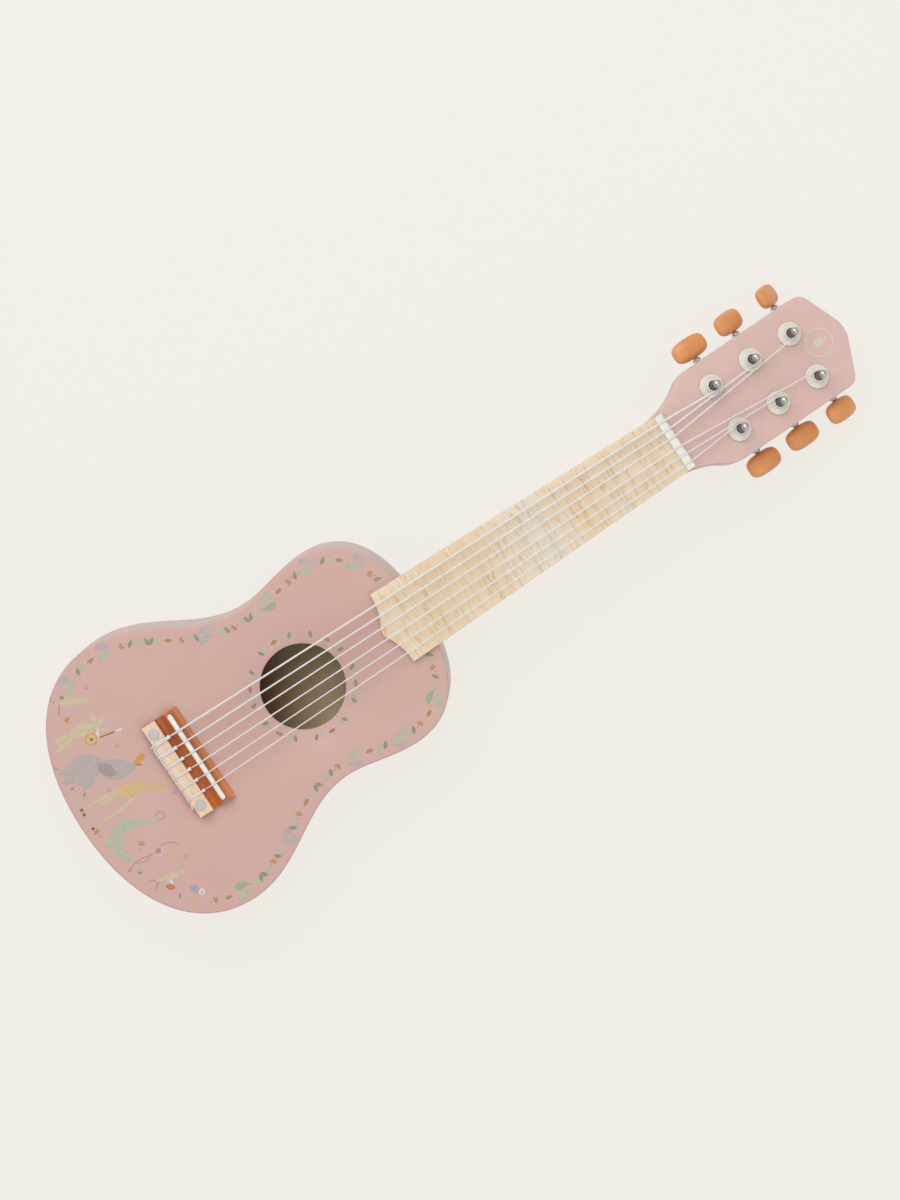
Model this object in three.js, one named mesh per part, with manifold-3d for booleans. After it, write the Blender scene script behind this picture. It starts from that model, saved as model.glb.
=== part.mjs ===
// A child-size six-string acoustic guitar with a hollow body, a tilted headstock and geared tuners.
// Millimetres, +Z up: the guitar lies on its back plate, +X runs from the tail to the headstock, +Y is the
// side of the thickest string. Everything is placed from the tail (X = 0) and centred on X at the end.

import * as THREE from 'three';
import * as BufferGeometryUtils from 'three/addons/utils/BufferGeometryUtils.js';
import Module from 'manifold-3d';

const wasm = await Module();
wasm.setup();

// ---------------------------------------------------------------- driving dimensions

const GLUE_GAP = 0.3;            // left between pieces that are cut to fit each other
const RUNNING_GAP = 0.35;        // around every shaft that turns in a hole

// Body
const BODY_LENGTH = 267.1;
const BODY_DEPTH = 64;
const LOWER_BOUT_X = 70.5;
const LOWER_BOUT_WIDTH = 199.6;
const WAIST_X = 167.3;
const WAIST_WIDTH = 130.8;
const UPPER_BOUT_X = 217.5;
const UPPER_BOUT_WIDTH = 145;
const PLATE_THICKNESS = 3;       // soundboard and back
const SIDE_THICKNESS = 3;
const SOUND_HOLE_DIAMETER = 57;
const SOUND_HOLE_X = 175;
const BLOCK_LENGTH = 20;         // neck and tail blocks, along X
const BLOCK_WIDTH = 46;
const BRACE_WIDTH = 8;
const BRACE_HEIGHT = 10;
const BRACE_END_GAP = 2;
const SOUNDBOARD_BRACE_LOWER_X = 129;
const SOUNDBOARD_BRACE_UPPER_X = 215;
const BACK_BRACE_X = 111;

// How far each curve handle of the half outline reaches, as a share of the span that it serves
const TAIL_HANDLE = 0.64;        // of half the lower bout's width
const LOWER_REAR_HANDLE = 0.58;  // of the length from the tail to the lower bout
const LOWER_FRONT_HANDLE = 0.4;  // of the length from the lower bout to the waist
const WAIST_REAR_HANDLE = 0.375;
const WAIST_FRONT_HANDLE = 0.3;  // of the length from the waist to the upper bout
const UPPER_REAR_HANDLE = 0.37;
const UPPER_FRONT_HANDLE = 0.58; // of the length from the upper bout to the neck end
const NECK_END_HANDLE = 0.73;    // of half the upper bout's width

// Neck, fretboard and nut
const NUT_REAR_X = 465.2;
const NUT_LENGTH = 6.2;
const NUT_HEIGHT = 6.6;
const NUT_WIDTH = 41.2;
const NUT_ROUNDING_LENGTH = 0.35; // share of the nut's length that its front edge is rounded over
const NUT_ROUNDING_DROP = 0.3;    // and how far down, as a share of the same length
const FRET_SCALE = 397;          // open length that sets the fret spacing
const FRET_COUNT = 12;
const FRET_WIDTH = 1.3;
const FRET_HEIGHT = 0.8;
const FRET_CROWN_WIDTH = 0.55;   // share of the fret's width left at its crown
const FRET_END_INSET = 0.4;
const FRETBOARD_THICKNESS = 4;
const FRETBOARD_REAR_X = 245.6;
const FRETBOARD_REAR_WIDTH = 52.7;
const FRETBOARD_NUT_WIDTH = 41.7;
const FRETBOARD_TIP = 7.2;       // the bracket-shaped end reaches this far past its corners
const BRACKET_CORNER_REACH = 0.5;   // shares of the corner's half width at which the bracket bends
const BRACKET_SHOULDER_REACH = 0.24;
const BRACKET_SHOULDER_X = 0.35; // share of the tip's length at which its shoulder lies
const NECK_DEPTH_AT_BODY = 19;
const NECK_DEPTH_AT_NUT = 15;
const NECK_FLAT_SIDE = 0.16;     // share of the neck's depth that stands straight under the fretboard
const HEEL_LENGTH = 30;
const HEEL_FOOT = 11;
const HEEL_BOTTOM_Z = 16;
const HEEL_FOOT_WIDTH = 0.5;     // share of the heel's width left at its foot
const HEEL_WIDTH = 46;

// Headstock, in its own tilted frame: x from the nut, z from its front face
const HEAD_TILT = THREE.MathUtils.degToRad(16);
const HEAD_THICKNESS = 12;
const HEAD_LENGTH = 137;
const HEAD_WIDTH = 69.6;
const HEAD_ROOT_WIDTH = 45.8;      // level with the nut's front face
const HEAD_FLARE_LENGTH = 32;
const HEAD_FLARE_SLOPE = 0.26;      // how fast it widens at the nut
const HEAD_FLARE_ROOT_REACH = 0.6;  // shares of the flare's length that its curve handles reach
const HEAD_FLARE_EDGE_REACH = 0.5;
const HEAD_FLARE_EDGE_DIP = 0.4;    // how far the last handle lies inside the edge
const HEAD_RUN_IN = 12;             // the flare starts this far behind the nut's front face
const HEAD_RUN_IN_WIDTH = 41.8;
const HEAD_SHOULDER_X = 124;
const HEAD_SHOULDER_RADIUS = 6;
const HEAD_TIP_X = 135.1;
const HEAD_TIP_WIDTH = 17.8;

// Tuners
const POST_FIRST_X = 38.2;
const POST_PITCH = 32.2;
const POSTS_PER_SIDE = 3;
const POST_ROW_Y = 16.85;
const POST_DIAMETER = 5.4;
const POST_HEIGHT = 18;
const POST_FOOT_LENGTH = 1;      // below the gear
const POST_NECK_TOP = 3.5;       // the waisted part near the tip, measured down from the tip
const POST_NECK_BOTTOM = 6;
const POST_NECK_INSET = 0.5;
const POST_DOME_HEIGHT = 2;
const POST_DOME_WIDTH = 0.7;     // share of the post's width near the top of its dome
const ROSETTE_DIAMETER = 16.1;
const ROSETTE_HEIGHT = 2.6;
const ROSETTE_SLEEVE_DIAMETER = 8.6;
const ROSETTE_SLEEVE_DEPTH = 5;
const ROSETTE_RIM_HEIGHT = 0.55;   // shares of its height at the rim and past the rim's rounding
const ROSETTE_BROW_HEIGHT = 0.85;
const ROSETTE_RIM_ROUNDING = 1;
const PLATE_METAL = 1;
const TUNER_PLATE_WIDTH = 15;
const TUNER_PLATE_END = 10;      // the plate reaches this far past its end posts
const GEAR_TEETH = 12;
const GEAR_PITCH_RADIUS = 4.1;
const GEAR_FACE = 3;
const TOOTH_SWING = 0.42;        // half the depth of the gear's and the worm's teeth
const MESH_GAP = 0.32;           // added between the two pitch circles
const WORM_PITCH_RADIUS = 2.1;
const WORM_TURNS = 3.5;
const WORM_END_LENGTH = 1;       // bare shaft beyond the inner ear
const WORM_SHAFT_DIAMETER = 3;
const EAR_GAP = 0.35;
const EAR_MARGIN = 1.6;          // metal around the shaft's hole in a plate's ear
const COLLAR_DIAMETER = 6.5;
const COLLAR_LENGTH = 1.8;
const KNOB_LENGTH = 25;          // across the shaft
const KNOB_WIDTH = 14.7;         // along the shaft
const KNOB_THICKNESS = 9.5;
const KNOB_CORNER = 4.4;
const KNOB_BEVEL = 2.4;
const KNOB_OFFSET = 2.8;         // from the headstock's edge to the knob
const KNOB_BORE_DEPTH = 9;
const KNOB_SHAFT_END_GAP = 0.5;
const KNOB_REST_TURNS = [        // how far each knob is turned, from the nut to the tip, in degrees
  [0, 30, 50],                   // thick-string side
  [5, 12, 25],
];

// Bridge, measured forward from its rear edge
const BRIDGE_REAR_X = 70.9;
const BRIDGE_LENGTH = 26.8;
const BRIDGE_WIDTH = 70.6;
const BRIDGE_HEIGHT = 6;
const BRIDGE_REAR_HEIGHT = 4.4;
const BRIDGE_CHANNEL_HEIGHT = 2.4;
const BRIDGE_LAND = 1;           // level wood left on each side of the saddle
const BRIDGE_CHANNEL_BEND = 2;   // the channel's rear slope bends this far behind the land
const TIE_STRIP_LENGTH = 10.1;
const TIE_STRIP_THICKNESS = 1.8;
const SADDLE_X = 20.2;
const SADDLE_THICKNESS = 3.5;
const SADDLE_WIDTH = 67;
const SADDLE_HEIGHT = 8.4;       // above the soundboard
const SADDLE_SLOT_FLOOR = 2;
const DOT_DIAMETER = 7.1;
const DOT_HEIGHT = 0.9;
const DOT_X = 4.9;
const DOT_END_INSET = 7.4;

// Strings, from the thickest to the thinnest
const STRING_DIAMETERS = [1.3, 1.15, 1.0, 0.95, 0.85, 0.8];
const STRING_NUT_Y = [15.8, 9.5, 3.5, -3.9, -10.1, -16.1];
const STRING_SADDLE_PITCH = 8.42;
const STRING_POSTS = [0, 1, 2, 2, 1, 0];   // place of each string's post, counted from the nut
const STRING_WINDINGS = 2;
const WINDING_STEPS = 12;        // per turn
const TIE_SIDE_STEP = 1.7;       // the tied end lies beside its own string by this much
// Shares of that step, as the end crosses the strip and goes down behind it.
const TIE_SIDE_SHARES = [0.8, 0.5, 0.4, 0.2];
const TIE_END_REACH = 1.5;       // the free end dips past the strip's corner by this much
const TIE_END_RISE = 0.6;        // above the strip's underside
const TIE_CORNER_REACH = 0.7;    // the string keeps this far from the strip's front corner
const TIE_BACK_REACH = 0.6;      // and this far from its rear face
const TIE_CORNER_DROP = 0.2;     // below the strip's top in front, half as far above it behind
const STRING_REST_GAP = 0.05;    // under a string where it crosses the saddle and the nut
const STRING_SIDES = 8;
const NUT_ENTRY = 0.5;           // where the string meets the nut, from its rear face
const NUT_EXIT = 0.2;            // and leaves it, as a share of the nut's length from its front face
const TIE_HOLE_DIAMETER = 2;
const TIE_HOLE_Z = 2.7;          // above the soundboard
const TIE_HOLE_RUNOUT = 2;       // the hole's drill runs on past the strip by this much

// Facets
const ROUND_SIDES = 24;
const SMALL_ROUND_SIDES = 16;
const SOUND_HOLE_SIDES = 48;
const OUTLINE_STEPS = 10;        // per curve of the body outline
const CURVE_STEPS = 6;
const THREAD_STEPS = 6;          // per turn of a worm
const TOOTH_STEPS = 4;           // per gear tooth
const CUT_RUNOUT = 1;            // a cutting tool reaches this far past what it cuts
const TOLERANCE = 1e-3;

// ---------------------------------------------------------------- worked out from the sizes above

const bodyTop = BODY_DEPTH;
const fretboardTop = bodyTop + FRETBOARD_THICKNESS;
const nutTop = bodyTop + NUT_HEIGHT;
const nutFrontX = NUT_REAR_X + NUT_LENGTH;
const saddleTop = bodyTop + SADDLE_HEIGHT;
const headPlateTop = -HEAD_THICKNESS - GLUE_GAP;
const headPlateBottom = headPlateTop - PLATE_METAL;
const wormOuterRadius = WORM_PITCH_RADIUS + TOOTH_SWING;
const wormAxisZ = headPlateBottom - EAR_GAP - wormOuterRadius;
const wormOffsetX = GEAR_PITCH_RADIUS + WORM_PITCH_RADIUS + MESH_GAP;
const threadPitch = 2 * Math.PI * GEAR_PITCH_RADIUS / GEAR_TEETH;
const wormHalfLength = WORM_TURNS * threadPitch / 2;
const earInnerY = wormHalfLength + EAR_GAP;
const shaftHoleRadius = WORM_SHAFT_DIAMETER / 2 + RUNNING_GAP;
const postHoleRadius = POST_DIAMETER / 2 + RUNNING_GAP;
const headHoleRadius = ROSETTE_SLEEVE_DIAMETER / 2 + GLUE_GAP;
const knobInnerY = HEAD_WIDTH / 2 + KNOB_OFFSET;
const totalLength = nutFrontX + HEAD_LENGTH * Math.cos(HEAD_TILT);
const postPlaces = Array.from({ length: POSTS_PER_SIDE }, (_, place) => POST_FIRST_X + place * POST_PITCH);

const headFrame = new THREE.Matrix4()
  .makeTranslation(nutFrontX, 0, bodyTop)
  .multiply(new THREE.Matrix4().makeRotationY(HEAD_TILT));

// ---------------------------------------------------------------- materials

function paint(hex, roughness, metalness = 0) {
  return new THREE.MeshStandardMaterial({ color: new THREE.Color(hex), roughness, metalness });
}

const lacquer = paint('#d3aea6', 0.45);
const paleWood = paint('#e4d0b0', 0.6);
const rawWood = paint('#a08a66', 0.8);
const bridgeWood = paint('#a35a2c', 0.45);
const stripWood = paint('#e8cbac', 0.5);
const ivoryPlastic = paint('#e8e5d6', 0.35);
const dotPlastic = paint('#c8c6c2', 0.4);
const fretMetal = paint('#dcdad2', 0.3, 0.7);
const steel = paint('#c4c4c4', 0.22, 0.95);
const nylon = paint('#e4e0da', 0.4);
const caramelPlastic = paint('#cc8a52', 0.35);

// ---------------------------------------------------------------- geometry helpers

// A closed geometry as a solid that can be joined and cut
function toSolid(geometry) {
  const bare = geometry.clone();
  bare.deleteAttribute('normal');
  bare.deleteAttribute('uv');
  const merged = BufferGeometryUtils.mergeVertices(bare);
  const mesh = new wasm.Mesh({
    numProp: 3,
    vertProperties: new Float32Array(merged.attributes.position.array),
    triVerts: new Uint32Array(merged.index.array),
  });
  return new wasm.Manifold(mesh);
}

function fromSolid(solid) {
  const mesh = solid.getMesh();
  const geometry = new THREE.BufferGeometry();
  geometry.setAttribute('position', new THREE.BufferAttribute(new Float32Array(mesh.vertProperties), 3));
  geometry.setIndex(new THREE.BufferAttribute(new Uint32Array(mesh.triVerts), 1));
  geometry.computeVertexNormals();
  return geometry;
}

function cut(geometry, ...tools) {
  return fromSolid(tools.reduce((solid, tool) => solid.subtract(toSolid(tool)), toSolid(geometry)));
}

function join(geometry, ...others) {
  return fromSolid(others.reduce((solid, other) => solid.add(toSolid(other)), toSolid(geometry)));
}

function common(geometry, other) {
  return fromSolid(toSolid(geometry).intersect(toSolid(other)));
}

function moveVertices(geometry, move) {
  const position = geometry.attributes.position;
  const point = new THREE.Vector3();
  for (let i = 0; i < position.count; i += 1) {
    point.fromBufferAttribute(position, i);
    move(point);
    position.setXYZ(i, point.x, point.y, point.z);
  }
  return geometry;
}

// A flat shape in X and Y, raised from bottom to top
function raise(shape, bottom, top, curveSegments = CURVE_STEPS) {
  const options = { depth: top - bottom, bevelEnabled: false, curveSegments };
  const geometry = new THREE.ExtrudeGeometry(shape, options);
  return geometry.translate(0, 0, bottom);
}

// A profile in X and Z, centred on Y with the given width
function widen(profile, width, curveSegments = CURVE_STEPS) {
  const geometry = new THREE.ExtrudeGeometry(profile, { depth: width, bevelEnabled: false, curveSegments });
  const axes = new THREE.Matrix4().makeBasis(
    new THREE.Vector3(1, 0, 0),
    new THREE.Vector3(0, 0, 1),
    new THREE.Vector3(0, -1, 0),
  );
  return geometry.applyMatrix4(axes).translate(0, width / 2, 0);
}

// A section in Y and Z, drawn along X from one place to another
function lengthen(section, rearX, frontX, curveSegments = CURVE_STEPS) {
  const options = { depth: frontX - rearX, bevelEnabled: false, curveSegments };
  const geometry = new THREE.ExtrudeGeometry(section, options);
  const axes = new THREE.Matrix4().makeBasis(
    new THREE.Vector3(0, 1, 0),
    new THREE.Vector3(0, 0, 1),
    new THREE.Vector3(1, 0, 0),
  );
  return geometry.applyMatrix4(axes).translate(rearX, 0, 0);
}

function box(lowX, highX, lowY, highY, lowZ, highZ) {
  const geometry = new THREE.BoxGeometry(highX - lowX, highY - lowY, highZ - lowZ);
  return geometry.translate((lowX + highX) / 2, (lowY + highY) / 2, (lowZ + highZ) / 2);
}

// A round solid about Z, from [radius, height] pairs
function turned(profile, sides = ROUND_SIDES) {
  const points = profile.map(([radius, height]) => new THREE.Vector2(radius, height));
  return new THREE.LatheGeometry(points, sides).rotateX(Math.PI / 2);
}

function upright(radius, bottom, top, sides = SMALL_ROUND_SIDES) {
  const geometry = new THREE.CylinderGeometry(radius, radius, top - bottom, sides);
  return geometry.rotateX(Math.PI / 2).translate(0, 0, (bottom + top) / 2);
}

// The corners of a round outline about the origin
function ring(radius, sides) {
  return Array.from({ length: sides }, (_, i) => {
    const angle = 2 * Math.PI * i / sides;
    return new THREE.Vector2(radius * Math.cos(angle), radius * Math.sin(angle));
  });
}

const model = new THREE.Group();
const head = new THREE.Group();
head.position.set(nutFrontX, 0, bodyTop);
head.rotation.y = HEAD_TILT;
model.add(head);

function place(name, geometry, material, group = model) {
  const mesh = new THREE.Mesh(geometry, material);
  mesh.name = name;
  group.add(mesh);
  return mesh;
}

// ---------------------------------------------------------------- body

// The half outline, from the tail round the +Y side to the neck end, mirrored and moved inward by an inset
function bodyOutline(inset = 0) {
  const lower = LOWER_BOUT_WIDTH / 2;
  const waist = WAIST_WIDTH / 2;
  const upper = UPPER_BOUT_WIDTH / 2;
  const lowerSpan = WAIST_X - LOWER_BOUT_X;
  const upperSpan = UPPER_BOUT_X - WAIST_X;
  const endSpan = BODY_LENGTH - UPPER_BOUT_X;
  const path = new THREE.Path();
  path.moveTo(0, 0);
  path.bezierCurveTo(
    0, TAIL_HANDLE * lower,
    LOWER_BOUT_X * (1 - LOWER_REAR_HANDLE), lower,
    LOWER_BOUT_X, lower,
  );
  path.bezierCurveTo(
    LOWER_BOUT_X + LOWER_FRONT_HANDLE * lowerSpan, lower,
    WAIST_X - WAIST_REAR_HANDLE * lowerSpan, waist,
    WAIST_X, waist,
  );
  path.bezierCurveTo(
    WAIST_X + WAIST_FRONT_HANDLE * upperSpan, waist,
    UPPER_BOUT_X - UPPER_REAR_HANDLE * upperSpan, upper,
    UPPER_BOUT_X, upper,
  );
  path.bezierCurveTo(
    UPPER_BOUT_X + UPPER_FRONT_HANDLE * endSpan, upper,
    BODY_LENGTH, NECK_END_HANDLE * upper,
    BODY_LENGTH, 0,
  );
  const half = path.getPoints(OUTLINE_STEPS);
  const mirrored = half.slice(1, -1).reverse().map((point) => new THREE.Vector2(point.x, -point.y));
  const loop = [...half, ...mirrored].reverse();
  return loop.map((point, i) => {
    const before = loop[(i + loop.length - 1) % loop.length];
    const after = loop[(i + 1) % loop.length];
    const along = after.clone().sub(before).normalize();
    return new THREE.Vector2(point.x - along.y * inset, point.y + along.x * inset);
  });
}

function addBody() {
  const outline = bodyOutline();
  const inside = bodyOutline(SIDE_THICKNESS);
  const fitted = raise(new THREE.Shape(bodyOutline(SIDE_THICKNESS + GLUE_GAP)), 0, bodyTop);
  const shortened = raise(new THREE.Shape(bodyOutline(SIDE_THICKNESS + BRACE_END_GAP)), 0, bodyTop);
  const innerBottom = PLATE_THICKNESS;
  const innerTop = bodyTop - PLATE_THICKNESS;

  const soundboard = new THREE.Shape(outline);
  const hole = ring(SOUND_HOLE_DIAMETER / 2, SOUND_HOLE_SIDES).map((point) => {
    point.x += SOUND_HOLE_X;
    return point;
  });
  soundboard.holes.push(new THREE.Path(hole));
  place('soundboard', raise(soundboard, innerTop, bodyTop), lacquer);
  place('back_plate', raise(new THREE.Shape(outline), 0, innerBottom), lacquer);

  const sides = new THREE.Shape(outline);
  sides.holes.push(new THREE.Path(inside));
  place('side_band', raise(sides, innerBottom, innerTop), lacquer);

  const blocks = {
    tail_block: [0, SIDE_THICKNESS + BLOCK_LENGTH],
    neck_block: [BODY_LENGTH - SIDE_THICKNESS - BLOCK_LENGTH, BODY_LENGTH],
  };
  for (const [name, [rearX, frontX]] of Object.entries(blocks)) {
    const block = box(rearX, frontX, -BLOCK_WIDTH / 2, BLOCK_WIDTH / 2, innerBottom, innerTop);
    place(name, common(block, fitted), rawWood);
  }

  const braces = {
    soundboard_brace_lower: [SOUNDBOARD_BRACE_LOWER_X, innerTop - BRACE_HEIGHT],
    soundboard_brace_upper: [SOUNDBOARD_BRACE_UPPER_X, innerTop - BRACE_HEIGHT],
    back_brace: [BACK_BRACE_X, innerBottom],
  };
  const reach = LOWER_BOUT_WIDTH / 2;
  for (const [name, [x, bottom]] of Object.entries(braces)) {
    const bar = box(x - BRACE_WIDTH / 2, x + BRACE_WIDTH / 2, -reach, reach, bottom, bottom + BRACE_HEIGHT);
    place(name, common(bar, shortened), rawWood);
  }
}

// ---------------------------------------------------------------- neck and fretboard

function fretboardHalfWidth(x) {
  const share = (x - FRETBOARD_REAR_X) / (NUT_REAR_X - FRETBOARD_REAR_X);
  return THREE.MathUtils.lerp(FRETBOARD_REAR_WIDTH, FRETBOARD_NUT_WIDTH, share) / 2;
}

function neckDepth(x) {
  const share = (x - BODY_LENGTH) / (NUT_REAR_X - BODY_LENGTH);
  return THREE.MathUtils.lerp(NECK_DEPTH_AT_BODY, NECK_DEPTH_AT_NUT, share);
}

// The shaft is drawn with a half width and a depth of 1, then stretched to its taper
function neckShaft() {
  const section = new THREE.Shape();
  section.moveTo(1, 0);
  section.lineTo(-1, 0);
  section.lineTo(-1, -NECK_FLAT_SIDE);
  section.absellipse(0, -NECK_FLAT_SIDE, 1, 1 - NECK_FLAT_SIDE, Math.PI, 2 * Math.PI, false);
  const rearX = BODY_LENGTH - HEEL_FOOT;
  const shaft = lengthen(section, rearX, nutFrontX, CURVE_STEPS * 2);
  return moveVertices(shaft, (point) => {
    point.y *= fretboardHalfWidth(point.x);
    point.z = bodyTop + point.z * neckDepth(point.x);
  });
}

function neckHeel() {
  const rearX = BODY_LENGTH - HEEL_FOOT;
  const footX = BODY_LENGTH + HEEL_FOOT;
  const frontX = BODY_LENGTH + HEEL_LENGTH;
  const underside = bodyTop - NECK_DEPTH_AT_BODY / 2;
  const profile = new THREE.Shape();
  profile.moveTo(rearX, underside);
  profile.lineTo(rearX, HEEL_BOTTOM_Z);
  profile.lineTo(footX, HEEL_BOTTOM_Z);
  profile.quadraticCurveTo(footX, underside - NECK_DEPTH_AT_BODY / 2, frontX, underside);
  const heel = widen(profile, HEEL_WIDTH);
  return moveVertices(heel, (point) => {
    const share = (point.z - HEEL_BOTTOM_Z) / (underside - HEEL_BOTTOM_Z);
    point.y *= THREE.MathUtils.lerp(HEEL_FOOT_WIDTH, 1, share);
  });
}

// The headstock's outline, with an S-curved flare and a faceted, rounded tip
function headOutline() {
  const root = HEAD_ROOT_WIDTH / 2;
  const half = HEAD_WIDTH / 2;
  const tip = HEAD_TIP_WIDTH / 2;
  const flare = HEAD_FLARE_LENGTH;
  const radius = HEAD_SHOULDER_RADIUS;
  const slope = new THREE.Vector2(HEAD_TIP_X - HEAD_SHOULDER_X, tip - half);
  slope.setLength(radius);
  // The handles lie this far out, which puts the curve's middle at the full length.
  const bulge = HEAD_TIP_X + (HEAD_LENGTH - HEAD_TIP_X) * 4 / 3;
  const rootX = flare * HEAD_FLARE_ROOT_REACH;
  const rootY = root + rootX * HEAD_FLARE_SLOPE;
  const edgeX = flare * HEAD_FLARE_EDGE_REACH;
  const edgeY = half - HEAD_FLARE_EDGE_DIP;
  const rear = HEAD_RUN_IN_WIDTH / 2;
  const bendX = -HEAD_RUN_IN / 2;
  const bendY = root + bendX * HEAD_FLARE_SLOPE;
  const shape = new THREE.Shape();
  shape.moveTo(-HEAD_RUN_IN, -rear);
  shape.quadraticCurveTo(bendX, -bendY, 0, -root);
  shape.bezierCurveTo(rootX, -rootY, edgeX, -edgeY, flare, -half);
  shape.lineTo(HEAD_SHOULDER_X - radius, -half);
  shape.quadraticCurveTo(HEAD_SHOULDER_X, -half, HEAD_SHOULDER_X + slope.x, -half - slope.y);
  shape.lineTo(HEAD_TIP_X, -tip);
  shape.bezierCurveTo(bulge, -tip / 2, bulge, tip / 2, HEAD_TIP_X, tip);
  shape.lineTo(HEAD_SHOULDER_X + slope.x, half + slope.y);
  shape.quadraticCurveTo(HEAD_SHOULDER_X, half, HEAD_SHOULDER_X - radius, half);
  shape.lineTo(flare, half);
  shape.bezierCurveTo(edgeX, edgeY, rootX, rootY, 0, root);
  shape.quadraticCurveTo(bendX, bendY, -HEAD_RUN_IN, rear);
  return shape;
}

function addNeck() {
  const holes = [];
  for (const x of postPlaces) {
    for (const side of [1, -1]) {
      const hole = upright(headHoleRadius, -HEAD_THICKNESS - CUT_RUNOUT, CUT_RUNOUT);
      holes.push(hole.translate(x, side * POST_ROW_Y, 0));
    }
  }
  const headstock = cut(raise(headOutline(), -HEAD_THICKNESS, 0), ...holes).applyMatrix4(headFrame);
  const bodyRoom = raise(new THREE.Shape(bodyOutline(-GLUE_GAP)), -CUT_RUNOUT, bodyTop + CUT_RUNOUT);
  const fretboardRoom = box(
    nutFrontX - 2 * HEAD_RUN_IN, nutFrontX,
    -HEAD_WIDTH / 2, HEAD_WIDTH / 2,
    bodyTop, nutTop + CUT_RUNOUT,
  );
  place('neck', cut(join(neckShaft(), neckHeel(), headstock), bodyRoom, fretboardRoom), lacquer);
}

function addFretboard() {
  const cornerHalf = fretboardHalfWidth(FRETBOARD_REAR_X);
  const frontHalf = fretboardHalfWidth(NUT_REAR_X);
  const tipX = FRETBOARD_REAR_X - FRETBOARD_TIP;
  const shoulderX = tipX + FRETBOARD_TIP * BRACKET_SHOULDER_X;
  const shoulderY = cornerHalf * BRACKET_SHOULDER_REACH;
  const bendY = cornerHalf * BRACKET_CORNER_REACH;
  const shape = new THREE.Shape();
  shape.moveTo(NUT_REAR_X, -frontHalf);
  shape.lineTo(NUT_REAR_X, frontHalf);
  shape.lineTo(FRETBOARD_REAR_X, cornerHalf);
  shape.quadraticCurveTo(FRETBOARD_REAR_X, bendY, shoulderX, shoulderY);
  shape.quadraticCurveTo(tipX, shoulderY / 2, tipX, 0);
  shape.quadraticCurveTo(tipX, -shoulderY / 2, shoulderX, -shoulderY);
  shape.quadraticCurveTo(FRETBOARD_REAR_X, -bendY, FRETBOARD_REAR_X, -cornerHalf);
  place('fretboard', raise(shape, bodyTop, fretboardTop), paleWood);

  for (let fret = 1; fret <= FRET_COUNT; fret += 1) {
    const x = NUT_REAR_X - FRET_SCALE * (1 - 2 ** (-fret / 12));
    const half = FRET_WIDTH / 2;
    const crown = new THREE.Shape();
    crown.moveTo(x - half, fretboardTop);
    crown.lineTo(x + half, fretboardTop);
    crown.lineTo(x + half * FRET_CROWN_WIDTH, fretboardTop + FRET_HEIGHT);
    crown.lineTo(x - half * FRET_CROWN_WIDTH, fretboardTop + FRET_HEIGHT);
    const width = 2 * (fretboardHalfWidth(x) - FRET_END_INSET);
    place(`fret_${String(fret).padStart(2, '0')}`, widen(crown, width), fretMetal);
  }

  const nut = new THREE.Shape();
  nut.moveTo(NUT_REAR_X, bodyTop);
  nut.lineTo(nutFrontX, bodyTop);
  nut.lineTo(nutFrontX, nutTop - NUT_LENGTH * NUT_ROUNDING_DROP);
  nut.quadraticCurveTo(nutFrontX, nutTop, nutFrontX - NUT_LENGTH * NUT_ROUNDING_LENGTH, nutTop);
  nut.lineTo(NUT_REAR_X, nutTop);
  place('nut', widen(nut, NUT_WIDTH), ivoryPlastic);
}

// ---------------------------------------------------------------- bridge

function saddleShape(clearance) {
  const half = SADDLE_THICKNESS / 2 + clearance;
  const reach = SADDLE_WIDTH / 2 - SADDLE_THICKNESS / 2;
  const x = BRIDGE_REAR_X + SADDLE_X;
  const shape = new THREE.Shape();
  shape.absarc(x, reach, half, 0, Math.PI, false);
  shape.absarc(x, -reach, half, Math.PI, 2 * Math.PI, false);
  return shape;
}

function stringSaddleY(index) {
  return ((STRING_DIAMETERS.length - 1) / 2 - index) * STRING_SADDLE_PITCH;
}

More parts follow.
